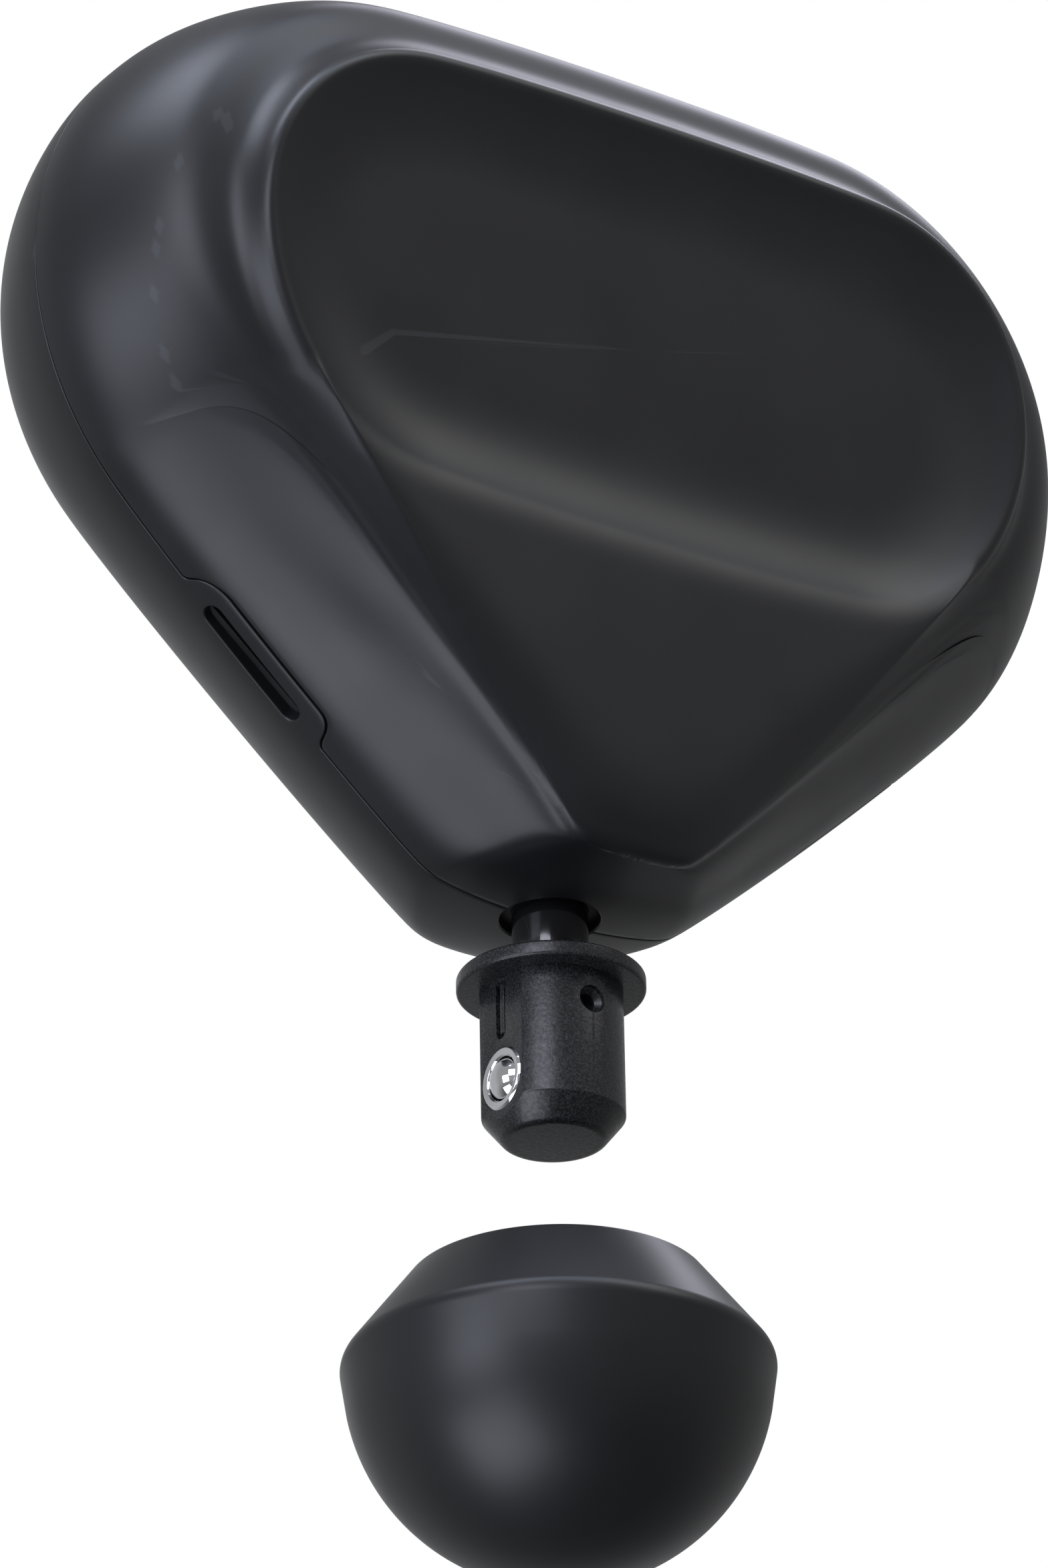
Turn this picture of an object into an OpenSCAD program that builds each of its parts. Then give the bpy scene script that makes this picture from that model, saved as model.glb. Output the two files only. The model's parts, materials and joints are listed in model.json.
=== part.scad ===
// Pocket massage gun: a rounded triangular casing with a palm dish, a short-stroke arbor under its
// nose and a loose dome head that slides over the arbor.
// Millimetres, +Z up. The stroke axis is X = 0, Y = 0, and the palm dish faces -Y.
// The origin is the grip centre, and every height named h is counted from the hole in the nose.

/* [Casing] */
// Height of the grip centre, the origin, over the nose hole
grip_h = 62; // [58:0.5:66]
// Wall thickness of both shells
wall = 2.2; // [1.8:0.1:2.6]
// Half distance between the upper corners of the parting outline
corner_x = 27.2; // [26.5:0.1:28]
// Height of the upper corners over the nose hole
corner_h = 62.9; // [62:0.1:64]
// Radius of the upper corners of the parting outline
corner_r = 37.5; // [37:0.1:38]
// Half distance between the two nose corners
nose_x = 12.2; // [11.5:0.1:13]
// Height of the nose corners over the nose hole
nose_h = 5.9; // [5.5:0.1:6.5]
// Radius of the nose corners
nose_r = 5; // [4.5:0.1:5.5]
// Distance of the front shoulder from the stroke axis
shoulder_y = 18.4; // [17.8:0.1:19]
// Distance of the flat back from the stroke axis
back_y = 29.7; // [29.3:0.1:30]
// Radius of the shallow dome's crease round the nose
crease_r = 17.6; // [17:0.1:18]
// Rise of the nose dome from the hole to the crease
crease_rise = 2.5; // [2:0.1:3]
// Gap along the parting line
seam_gap = 0.12; // [0.05:0.01:0.2]

/* [Palm dish] */
// Half distance between the end centres of the dish rim
rim_x = 28.4; // [27:0.1:29]
// Radius of the dish rim's ends
rim_r = 21.2; // [20.5:0.1:21.5]
// Distance of the rim from the stroke axis at grip height
rim_y = 23.2; // [22.6:0.1:23.6]
// Forward lean of the rim, per mm of height
rim_lean = 0.09; // [0.05:0.01:0.1]
// Depth of the dish below its rim
dish_depth = 3; // [2:0.1:3.4]

/* [Side vents] */
// Length of each vent slot
slot_l = 15.1; // [12:0.1:16]
// Width of each vent slot
slot_w = 2.6; // [2:0.1:3]
// Length of the rear shell's tab round a slot
tab_l = 21.8; // [20:0.1:23]
// Width of the tab, half of it before the parting line
tab_w = 6.6; // [6:0.1:7]

/* [Arbor] */
// Radius of the arbor's barrel
arbor_r = 7.65; // [7.5:0.05:7.8]
// Distance from the nose hole down to the flange's top face
arbor_drop = 6.3; // [6:0.1:7]
// Radius of the flange
flange_r = 10.1; // [9.6:0.1:10.6]
// Thickness of the flange
flange_t = 1.7; // [1.4:0.1:2]
// Length of the barrel below the flange, without the chamfered tip
barrel_l = 14.5; // [14:0.1:15]
// Length of the chamfered tip
tip_l = 2.8; // [2.4:0.1:3.2]
// Radius of the tip's flat end
tip_r = 5.4; // [5:0.1:5.8]
// Distance of the arbor's flat from the stroke axis
flat_x = 6.55; // [6.4:0.05:6.8]

/* [Drive] */
// Length of the stroke
stroke = 12; // [8:0.5:12]
// Radius of the drive shaft
shaft_r = 4.1; // [3.9:0.05:4.2]
// Centre distance of the connecting rod
rod_l = 27; // [26:0.5:28]
// Height of the wrist pin over the nose hole, at the top of the stroke
wrist_h = 39; // [39:0.1:39.5]
// Radius of the rotor bell
bell_r = 17.4; // [17:0.1:17.8]

/* [Head] */
// Drop of the loose head's top face below the nose hole
head_drop = 41.1; // [38:0.1:46]
// Radius of the dome
dome_r = 22.5; // [22:0.1:23]
// Radius of the head's flat top
head_top_r = 15.4; // [15:0.1:16]
// Height of the cone over the dome
cone_l = 10.3; // [9.6:0.1:11]
// Depth of the socket
socket_l = 18.2; // [18.1:0.1:18.4]

/* [Hidden] */

// Every ring below is a soft outline round circles [x, h, radius], mirrored about X = 0.
parting = [[corner_x, corner_h, corner_r], [nose_x, nose_h, nose_r]];
shoulder = [[corner_x - 0.5, corner_h + 2.8, corner_r - 7], [nose_x - 4.8, nose_h + 6.1, nose_r + 3.7]];
face = [[corner_x - 2.3, corner_h + 0.4, corner_r - 10.8], [0, nose_h + 6, nose_r + 9.2]];
rim = [[rim_x, corner_h + 1.5, rim_r], [rim_x - 2.3, corner_h - 4.7, rim_r]];
haunch = [[corner_x + 1.4, corner_h + 0.4, corner_r - 5.6], [2, nose_h + 2.4, nose_r + 2.3]];
back_edge = [[corner_x + 0.6, corner_h + 0.9, corner_r - 21.4], [0, nose_h + 19.5, nose_r]];
back_flat = [[corner_x / 2, corner_h + 0.9, 2], [0, nose_h + 32.5, 2.5]];
softness = 0.96;        // how far the straight runs stay straight before they round off
around = 72;            // points round each ring
span_steps = 3;         // rings per span of the section curve
blend = 0.35;           // radius-like softness of the nose crease
nose_back = 1.6;        // shift of the nose dome towards the front
nose_wall = 3;          // thickness of the casing round the nose hole
dish_run = 20;          // width over which the dish falls
dish_steps = [1, 2.5, 5, 9, 14, 19];

hole_r = 5.4;           // hole in the nose
side_x = 38.4;          // middle of the straight side, where the vents lie
side_h = 20.1;
side_tilt = 40.5;
boss_at = [[51, 64], [16, 25]];
post_at = [[18.5, 41], [18.5, 79]];
crank_r = stroke / 2;
crank_h = wrist_h + rod_l - crank_r;
arbor_top = -arbor_drop;
barrel_top = arbor_top - flange_t;
barrel_end = barrel_top - barrel_l;
arbor_end = barrel_end - tip_l;
shaft_end = -14.5;      // foot of the drive shaft inside the arbor
detent_h = -19.4;
cross_h = -11.55;
ball_r = 2.75;
ball_x = -4.8;
head_h = -head_drop;
ridge_h = head_h - cone_l;
button_h = 70;
led_h = 56;
cell_x = 31.4;
cell_y = 2;
cell_r = 9.2;
cell_h = 28.6;
cell_l = 65;
frame_y = 8.3;          // front face of the drive frame's plate
frame_t = 2.5;
foot_h = 5.2;           // foot of the drive frame, over the floor of the nose
barrel_top_h = 17.6;    // top of the frame's bushing barrel
$fn = 64;

// ---- section curves of the casing ----

function both(ring, inset) =
    [for (c = ring) each [[c.x, c.y, c.z - inset], [-c.x, c.y, c.z - inset]]];

// Point of the soft outline round the circles, where its outward direction is a degrees.
function outline(ring, inset, a) =
    let (circles = both(ring, inset),
         reach = [for (c = circles) c.x * cos(a) + c.y * sin(a) + c.z],
         top = max(reach),
         weight = [for (v = reach) exp(softness * (v - top))],
         total = weight * [for (v = weight) 1],
         out = top + ln(total) / softness,
         along = weight * [for (c = circles) c.y * cos(a) - c.x * sin(a)] / total)
    [out * cos(a) - along * sin(a), out * sin(a) + along * cos(a)];

function at_y(p, y) = [p.x, y, p.y];
function rim_front(h) = -rim_y - rim_lean * (h - grip_h);

// Even steps along the mean of the parting line and the dish rim, as outward directions.
function mean_point(a) = outline(parting, 0, a) + outline(rim, 0, a);
run = [for (i = 0, s = 0; i <= 360; s = s + norm(mean_point(i - 89) - mean_point(i - 90)), i = i + 1)
    [s, i - 90]];
directions = [for (k = [0 : around - 1]) lookup(k / around * run[360][0], run)];

// Cubic B-spline through control points c, clamped at both ends, at parameter t.
function curve(c, t) =
    let (m = len(c), i = min(floor(t), m - 2), u = t - i,
         before = i > 0 ? c[i - 1] : 2 * c[0] - c[1],
         after = i < m - 2 ? c[i + 2] : 2 * c[m - 1] - c[m - 2])
    (pow(1 - u, 3) * before + (3 * u * u * u - 6 * u * u + 4) * c[i]
     + (-3 * u * u * u + 3 * u * u + 3 * u + 1) * c[i + 1] + u * u * u * after) / 6;

// The nose ends in a shallow dome: no point lies below it, and lift raises it for the inner side.
function dome_h(p) =
    let (r = norm([p.x, p.y + nose_back * min(1, norm([p.x, p.y]) / crease_r)]))
    crease_rise * pow(r / crease_r, 2);
function settle(p, lift) =
    let (floor_h = dome_h(p) + lift, over = (p.z - floor_h) / blend)
    [p.x, p.y, over > 30 ? p.z : floor_h + blend * ln(1 + exp(over))];

function front_section(a, t) =
    let (p = outline(parting, t, a), s = outline(shoulder, t, a), f = outline(face, t, a),
         e = outline(rim, 0, a), walls = [at_y(p, 0), at_y(p, -5.5),
            at_y(s, t - shoulder_y), at_y(f, t - shoulder_y)])
    t > 0 ? walls : concat(walls, [at_y(e, rim_front(e.y))]);
function rear_section(a, t) =
    let (p = outline(parting, t, a), s = outline(haunch, t, a), f = outline(back_edge, t, a),
         e = outline(back_flat, 0, a))
    [at_y(p, 0), at_y(p, 4.1), at_y(s, 17.1 - t), at_y(f, back_y - 1.5 - t), at_y(e, back_y - t)];

function rings(sections, t) =
    let (last = (len(sections[0]) - 1) * span_steps)
    [for (k = [0 : last]) [for (c = sections) settle(curve(c, k / span_steps), t > 0 ? nose_wall : 0)]];
function dish_rings() =
    [for (d = dish_steps) [for (a = directions)
        let (e = outline(rim, d, a))
        at_y(e, rim_front(e.y) + dish_depth * (1 - pow(1 - d / dish_run, 2)))]];
// The inner surfaces start a little past the parting plane, so that the shells are open there.
function past_plane(ring, y) = [for (p = ring) [p.x, y, p.z]];

function middle(ring) = [for (k = [0 : 2]) [for (p = ring) p[k]] * [for (p = ring) 1] / len(ring)];

// Closed skin over a stack of rings. The rings run towards -Y, or towards +Y where back is true.
module skin(stack, back = false) {
    n = len(stack[0]);
    m = len(stack);
    points = concat([for (ring = stack) each ring], [middle(stack[0]), middle(stack[m - 1])]);
    sides = [for (i = [0 : m - 2], j = [0 : n - 1])
        let (k = (j + 1) % n, a = i * n + j, b = i * n + k, c = a + n, d = b + n)
        each [[a, c, d], [a, d, b]]];
    ends = [for (j = [0 : n - 1])
        let (k = (j + 1) % n)
        each [[m * n, j, k], [m * n + 1, (m - 1) * n + k, (m - 1) * n + j]]];
    faces = concat(sides, ends);
    polyhedron(points, back ? [for (f = faces) [f[2], f[1], f[0]]] : faces, convexity = 6);
}

module front_solid() skin(concat(rings([for (a = directions) front_section(a, 0)], 0), dish_rings()));
module front_hollow() {
    inner = rings([for (a = directions) front_section(a, wall)], wall);
    skin(concat([past_plane(inner[0], 1)], inner));
}
module rear_solid() skin(rings([for (a = directions) rear_section(a, 0)], 0), true);
module rear_hollow() {
    inner = rings([for (a = directions) rear_section(a, wall)], wall);
    skin(concat([past_plane(inner[0], -1)], inner), true);
}

// ---- placing helpers ----

module at_grip() translate([0, 0, -grip_h]) children();
module both_sides() {
    children();
    mirror([1, 0, 0]) children();
}
// Local Z points along +Y, local Y points down.
module along_y(y, h, x = 0) translate([x, y, h]) rotate([-90, 0, 0]) children();
// Local Z points out of the straight side, local X runs down along it.
module on_side() both_sides() translate([side_x, 0, side_h]) rotate([0, 180 - side_tilt, 0]) children();
module stadium(length, width) {
    square([length - width, width], center = true);
    for (s = [-1, 1]) translate([s * (length - width) / 2, 0]) circle(width / 2);
}
module tube(outer, inner, length) difference() {
    cylinder(r = outer, h = length);
    translate([0, 0, -1]) cylinder(r = inner, h = length + 2);
}
// Round wire of radius r along the smooth curve of a few control points.
module wire(points, r, steps = 9, sides = 8) {
    last = len(points) - 1;
    path = [for (k = [0 : steps]) curve(points, k / steps * last)];
    skin([for (k = [0 : steps])
        let (d = path[min(k + 1, steps)] - path[max(k - 1, 0)], w = d / norm(d),
             side = cross(w, [1, 0, 0]), u = side / norm(side), v = cross(w, u))
        [for (j = [0 : sides - 1]) path[k] + r * (cos(j * 360 / sides) * u + sin(j * 360 / sides) * v)]]);
}

// ---- casing ----

module tabs(gap) on_side() translate([0, 0, -6]) linear_extrude(12) stadium(tab_l + gap, tab_w + gap);
module bosses() for (p = boss_at) both_sides() along_y(-20, p.y, p.x) cylinder(r = 2.9, h = 45);

module front_shell() color("#26272a") at_grip() difference() {
    union() {
        difference() {
            front_solid();
            front_hollow();
            translate([0, -15, grip_h]) rotate([90, 0, 0]) linear_extrude(2.6) stadium(84, 28);
        }
        intersection() {
            difference() {
                front_solid();
                translate([-80, -9, -10]) cube([160, 20, 130]);
            }
            bosses();
        }
    }
    translate([-80, -seam_gap, -10]) cube([160, 5, 130]);
    tabs(seam_gap * 2);
    translate([0, 0, -1]) cylinder(r = hole_r, h = 6);
    translate([0, 0, 1.6]) cylinder(r = 7.6, h = 4);
    for (p = boss_at) both_sides() along_y(-12, p.y, p.x) cylinder(r = 1.1, h = 30);
}

module rear_shell() color("#26272a") at_grip() difference() {
    union() {
        difference() {
            rear_solid();
            rear_hollow();
        }
        intersection() {
            difference() {
                front_solid();
                front_hollow();
            }
            tabs(0);
        }
        intersection() {
            rear_solid();
            union() {
                for (p = post_at) both_sides() along_y(frame_y + frame_t + 2, p.y, p.x) cylinder(r = 3.2, h = 30);
                for (p = boss_at) both_sides() along_y(0, p.y, p.x) cylinder(r = 3.4, h = 30);
            }
        }
    }
    on_side() translate([0, 0, -8]) linear_extrude(16) stadium(slot_l, slot_w);
    translate([0, 0, -1]) cylinder(r = hole_r, h = 6);
    translate([0, 0, 1.6]) cylinder(r = 7.6, h = 4);
    along_y(20, button_h) cylinder(r = 6.8, h = 15);
    for (x = [-6, 0, 6]) along_y(20, led_h, x) cylinder(r = 1.2, h = 15);
    translate([0, 8, 90]) linear_extrude(15) stadium(9.6, 3.8);
    for (p = post_at) both_sides() along_y(10, p.y, p.x) cylinder(r = 1, h = 9);
    for (p = boss_at) both_sides() {
        along_y(-1, p.y, p.x) cylinder(r = 1.25, h = 30);
        along_y(8, p.y, p.x) cylinder(r = 2.4, h = 30);
    }
}

module vent_liners() color("#101012") at_grip() on_side() difference() {
    translate([0, 0, -wall - 1.8]) linear_extrude(1.4) stadium(slot_l + 2.4, slot_w + 2);
    for (k = [-3 : 3]) translate([k * 2, 0, -wall - 3]) linear_extrude(4) stadium(1.2 + slot_w - 1, 0.9);
}

module shaft_seal() color("#0c0c0d") at_grip() translate([0, 0, 1.6]) tube(7.6, shaft_r + 0.05, 1.7);

// ---- inner frame ----

module drive_frame() color("#8b8f94") at_grip() difference() {
    union() {
        translate([0, 0, foot_h]) cylinder(r = 9.2, h = barrel_top_h - foot_h);
        translate([-7, 0, foot_h]) cube([14, frame_y + frame_t, barrel_top_h - foot_h]);
        along_y(frame_y, 0) linear_extrude(frame_t) {
            translate([0, -crank_h]) circle(19);
            polygon([[-7, -6], [7, -6], [12, -30], [12, -50], [-12, -50], [-12, -30]]);
            for (p = post_at, s = [-1, 1]) translate([s * p.x, -p.y]) circle(4);
            for (p = post_at, s = [-1, 1]) polygon([[s * p.x, -p.y - 4], [s * (p.x - 12), -crank_h - 4],
                [s * (p.x - 12), -crank_h + 4], [s * p.x, -p.y + 4]]);
        }
    }
    translate([0, 0, 3]) cylinder(r = 7, h = 15);
    along_y(frame_y - 1, crank_h) cylinder(r = 4.6, h = 5);
    for (p = post_at) both_sides() along_y(5, p.y, p.x) cylinder(r = 1.1, h = 8);
}
module bushing(h) at_grip() translate([0, 0, h]) tube(7, shaft_r + 0.05, 6);
module bushing_lower() color("#b08d57") bushing(3.6);
module bushing_upper() color("#b08d57") bushing(11.5);
module frame_dampers() color("#1a1a1a") at_grip() for (p = post_at) both_sides()
    along_y(frame_y + frame_t, p.y, p.x) rotate_extrude()
        polygon([[1.1, 0], [3.8, 0], [3.8, 0.6], [3.3, 1], [3.8, 1.4], [3.8, 2], [1.1, 2]]);
module frame_screws() color("#c2c4c8") at_grip() for (p = post_at) both_sides()
    along_y(frame_y - 1.6, p.y, p.x) difference() {
        union() {
            cylinder(r = 2, h = 1.6);
            cylinder(r = 1, h = 9);
        }
        translate([0, 0, -1]) cylinder(r = 0.8, h = 1.8, $fn = 6);
    }

// ---- motor ----

module motor_base() color("#9a9da2") at_grip() along_y(frame_y + frame_t, crank_h) difference() {
    union() {
        cylinder(r = bell_r - 0.6, h = 1.6);
        translate([0, 0, -frame_t]) cylinder(r = 4.6, h = 10.6);
    }
    translate([0, 0, -5]) cylinder(r = 4, h = 20);
    for (i = [0 : 5]) rotate(i * 60 + 30) translate([11, 0, -1]) cylinder(r = 1.8, h = 4);
}
module motor_bearings() color("#d4d6da") at_grip() for (y = [frame_y + 0.3, frame_y + 7.3])
    along_y(y, crank_h) rotate_extrude() polygon([[2.05, 0], [2.9, 0], [2.9, 0.3], [3.3, 0.3], [3.3, 0],
        [4, 0], [4, 3], [3.3, 3], [3.3, 2.7], [2.9, 2.7], [2.9, 3], [2.05, 3]]);
module stator_core() color("#6f7378") at_grip() along_y(13.5, crank_h) linear_extrude(4.8) difference() {
    circle(13.6);
    circle(4.6);
    for (i = [0 : 11]) rotate(i * 30 + 15) {
        polygon([[7.8, -0.6], [12.6, -2.2], [12.6, 2.2], [7.8, 0.6]]);
        translate([12, -0.5]) square([3, 1]);
    }
}
module stator_windings() color("#b5652b") at_grip() along_y(12.9, crank_h) for (i = [0 : 11]) rotate(i * 30)
    difference() {
        translate([8.4, -1.95, 0]) cube([3.7, 3.9, 6]);
        translate([8, -1.5, 0.55]) cube([5, 3, 4.9]);
    }
module motor_leads() color("#a03228") at_grip() for (x = [-3, 0, 3])
    wire([[x, 12, 42], [x, 16, 38], [x, 22.2, 39.4], [x, 23.6, 46]], 0.7);
module rotor_bell() color("#3c3f44") at_grip() along_y(12.9, crank_h) difference() {
    cylinder(r = bell_r, h = 8.1);
    translate([0, 0, -1]) cylinder(r = 15.9, h = 7.7);
    translate([0, 0, -1]) cylinder(r = 2, h = 12);
    for (i = [0 : 5]) rotate(i * 60) translate([9.5, 0, 5]) cylinder(r = 2.6, h = 5);
}
module rotor_magnets() color("#a7a9ad") at_grip() along_y(13.3, crank_h) linear_extrude(5.3) difference() {
    circle(15.9);
    circle(14.1);
    for (i = [0 : 13]) rotate(i * 360 / 14) translate([12, -0.25]) square([6, 0.5]);
}
module motor_shaft() color("#d4d6da") at_grip() along_y(4.6, crank_h) cylinder(r = 2, h = 16.4);

// ---- crank and rod ----

module crank_disc() color("#7c8086") at_grip() along_y(4.4, crank_h) difference() {
    linear_extrude(3.5) {
        circle(12.4);
        difference() {
            circle(15.6);
            translate([-20, -40]) square([40, 43]);
        }
    }
    translate([0, 0, 0.2]) cylinder(r = 2, h = 5);
    translate([0, -crank_r, -1]) cylinder(r = 3, h = 3.5);
}
module connecting_rod() color("#c9ccd1") at_grip() along_y(-3, wrist_h) difference() {
    union() {
        cylinder(r = 5, h = 6);
        translate([0, -rod_l, 0]) cylinder(r = 9, h = 6);
        linear_extrude(6) polygon([[-3.2, -1], [3.2, -1], [4.6, -rod_l], [-4.6, -rod_l]]);
    }
    translate([0, 0, -1]) cylinder(r = 2.55, h = 8);
    translate([0, -rod_l, -1]) cylinder(r = 6.5, h = 8);
    for (z = [-1, 5]) translate([-1.6, -16, z]) cube([3.2, 9, 2]);
}
module crank_bearing() color("#d4d6da") at_grip() along_y(-3, wrist_h + rod_l) rotate_extrude()
    polygon([[3, 0], [4.2, 0], [4.2, 0.4], [5.3, 0.4], [5.3, 0], [6.5, 0], [6.5, 6], [5.3, 6],
        [5.3, 5.6], [4.2, 5.6], [4.2, 6], [3, 6]]);
module crank_pin() color("#b9bcc1") at_grip() along_y(-4.2, wrist_h + rod_l) {
    cylinder(r = 4, h = 1.2);
    cylinder(r = 3, h = 8.3);
}
module drive_shaft() color("#1c1d20") at_grip() translate([0, 0, shaft_end])
    difference() {
        cylinder(r = shaft_r, h = wrist_h - 6 - shaft_end);
        translate([0, 0, cross_h - shaft_end]) rotate([90, 0, 0]) cylinder(r = 0.95, h = 20, center = true);
    }
module crosshead() color("#9a9da2") at_grip() difference() {
    union() {
        translate([-6, -7, wrist_h - 9]) cube([12, 14, 3.6]);
        for (y = [-7, 3.3]) {
            translate([-4, y, wrist_h - 9]) cube([8, 3.7, 9]);
            along_y(y, wrist_h) cylinder(r = 4, h = 3.7);
        }
    }
    along_y(-8, wrist_h) cylinder(r = 2.5, h = 16);
    translate([0, 0, wrist_h - 10]) cylinder(r = shaft_r, h = 4);
}
module wrist_pin() color("#d4d6da") at_grip() along_y(-7.2, wrist_h) difference() {
    cylinder(r = 2.5, h = 14.4);
    translate([0, 0, -1]) cylinder(r = 1.2, h = 17);
}

// ---- arbor ----

module arbor() color("#2a2b2e") at_grip() difference() {
    union() {
        translate([0, 0, barrel_top]) rotate_extrude() polygon([[0, 0], [flange_r - 0.25, 0],
            [flange_r, 0.25], [flange_r, flange_t - 0.25], [flange_r - 0.25, flange_t], [0, flange_t]]);
        difference() {
            translate([0, 0, arbor_end]) rotate_extrude()
                polygon([[0, 0], [tip_r, 0], [arbor_r, tip_l], [arbor_r, tip_l + barrel_l], [0, tip_l + barrel_l]]);
            translate([-flat_x - 20, -20, arbor_end - 1]) cube([20, 40, barrel_top - arbor_end + 1]);
        }
    }
    translate([0, 0, shaft_end]) cylinder(r = shaft_r, h = 30);
    // groove down the flat, from the flange to the foot of the slot
    translate([-flat_x - 1, -0.85, barrel_top - 6.8]) cube([2, 1.7, 6.8]);
    translate([-flat_x + 1, 0, barrel_top - 6.8]) rotate([0, -90, 0]) cylinder(r = 0.85, h = 2);
    // cross-pin hole with countersunk mouths
    translate([0, 0, cross_h]) rotate([90, 0, 0]) {
        cylinder(r = 0.95, h = 30, center = true);
        for (s = [0, 180]) rotate([s, 0, 0]) translate([0, 0, arbor_r - 0.55])
            cylinder(r1 = 0.95, r2 = 1.55, h = 0.6);
    }
    // bore of the detent ball and the seat of its ring
    translate([4, 0, detent_h]) rotate([0, -90, 0]) cylinder(r = ball_r + 0.05, h = 20);
    translate([-flat_x + 0.5, 0, detent_h]) rotate([0, -90, 0]) cylinder(r = 3.5, h = 20);
}
module cross_pin() color("#3a3c40") at_grip() translate([0, 0, cross_h]) rotate([90, 0, 0])
    cylinder(r = 0.95, h = 11, center = true);
module detent_ring() color("#dfe1e4") at_grip() translate([-flat_x + 0.5, 0, detent_h]) rotate([0, -90, 0])
    rotate_extrude() polygon([[2.85, 0], [3.5, 0], [3.5, 0.5], [3.25, 0.7], [2.75, 0.62], [2.42, 0.45]]);
module detent_ball() color("#e8eaee") at_grip() translate([ball_x, 0, detent_h]) sphere(r = ball_r);
module detent_spring() color("#b9bcc1") at_grip() translate([4, 0, detent_h]) rotate([0, -90, 0])
    difference() {
        cylinder(r = 2.3, h = 4 - ball_x - ball_r - 0.05);
        translate([0, 0, -1]) cylinder(r = 1.8, h = 20);
    }

// ---- loose head ----

module head_core() color("#1e1f21") at_grip() translate([0, 0, head_h - socket_l - 2.4]) difference() {
    union() {
        cylinder(r = 10.6, h = socket_l + 2.4);
        cylinder(r = 13, h = 2.4);
    }
    translate([0, 0, 2.4]) cylinder(r = arbor_r + 0.1, h = 40);
    translate([0, 0, 2.4 + socket_l - 0.8]) cylinder(r1 = arbor_r + 0.1, r2 = arbor_r + 0.95, h = 0.85);
}
module head_dome() color("#232426") at_grip() difference() {
    union() {
        intersection() {
            translate([0, 0, ridge_h]) sphere(r = dome_r, $fn = 128);
            translate([-40, -40, ridge_h - 40]) cube([80, 80, 40]);
        }
        translate([0, 0, ridge_h]) rotate_extrude($fn = 128) polygon([[0, 0], [dome_r, 0],
            [dome_r - 0.15, 0.8], [dome_r - 0.7, 1.7], [head_top_r + 0.5, cone_l - 0.5],
            [head_top_r, cone_l], [0, cone_l]]);
    }
    translate([0, 0, head_h - socket_l - 2.4]) {
        cylinder(r = 10.6, h = 40);
        cylinder(r = 13, h = 2.4);
    }
}

// ---- power, light and battery ----

module power_button() color("#2c2d30") at_grip() along_y(26.35, button_h) {
    rotate_extrude() polygon([[0, 0.2], [6.5, 0.2], [6.5, 3.2], [6, 3.75], [0, 4.0]]);
    cylinder(r = 1.6, h = 1);
}
module power_switch() color("#b8bbc0") at_grip() along_y(24.4, button_h) {
    translate([-3, -3, 0]) cube([6, 6, 0.8]);
    cylinder(r = 1.5, h = 1.1);
}
module main_board() color("#1f5b3a") at_grip() difference() {
    translate([-15, 23, 46]) cube([30, 1.4, 32]);
    for (x = [-12.5, 12.5], h = [48.5, 75.5]) along_y(20, h, x) cylinder(r = 1.1, h = 8);
}
module board_chips() color("#17181a") at_grip() {
    translate([-9, 24.4, 61]) cube([6, 1, 4]);
    translate([4, 24.4, 49]) cube([5, 0.9, 5]);
    translate([-11, 24.4, 49.5]) cube([3, 1.2, 3]);
    translate([6, 24.4, 61.5]) cube([4, 0.8, 3]);
    for (x = [-6, 0, 6]) translate([x - 0.9, 24.4, led_h - 0.7]) cube([1.8, 0.7, 1.4]);
}
module led_lenses() color("#e9edf0") at_grip() for (x = [-6, 0, 6]) along_y(25.4, led_h, x) {
    cylinder(r = 1.15, h = back_y - 0.45 - 25.4);
    cylinder(r = 1.7, h = 1.4);
}
module battery_cells() color("#2b6aa0") at_grip() both_sides() translate([cell_x, cell_y, cell_h]) rotate_extrude()
    polygon([[0, 0], [cell_r - 0.6, 0], [cell_r, 0.6], [cell_r, cell_l - 1.4], [cell_r - 1, cell_l - 0.6],
        [3, cell_l - 0.6], [3, cell_l], [0, cell_l]]);
module battery_cradles() color("#4a4d52") at_grip() both_sides() translate([cell_x, cell_y, 0]) {
    for (h = [36, 78]) translate([0, 0, h]) difference() {
        cylinder(r = cell_r + 1.4, h = 7);
        translate([0, 0, -1]) cylinder(r = cell_r + 0.05, h = 9);
        translate([-20, -20, -1]) cube([40, 21, 9]);
    }
    difference() {
        translate([-4, cell_r, 36]) cube([8, 3, 49]);
        translate([0, 0, 30]) cylinder(r = cell_r + 0.05, h = 60);
    }
}
module cell_tabs() color("#c8c9c4") at_grip() both_sides() {
    translate([cell_x - 3, cell_y - 2, cell_h + cell_l]) cube([6, 4, 0.3]);
    translate([cell_x - 4, cell_y - 2, cell_h - 0.3]) cube([8, 4, 0.3]);
}
module battery_leads() color("#c22f2a") at_grip() for (s = [-1, 1])
    wire([[s * cell_x, cell_y, cell_h + cell_l + 0.7], [s * 22, 13, 87.5], [s * 13.5, 20, 81.5], [s * 12, 23.4, 77.6]], 0.8);
module charge_socket() color("#7d8085") at_grip() translate([0, 8, 90.5]) difference() {
    linear_extrude(8.4) stadium(9.2, 3.4);
    translate([0, 0, 1.2]) linear_extrude(9) difference() {
        stadium(8.4, 2.6);
        square([6, 0.7], center = true);
    }
}
module charge_board() color("#1f5b3a") at_grip() translate([-7.5, 9.7, 84]) cube([15, 1.2, 10.5]);
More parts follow.
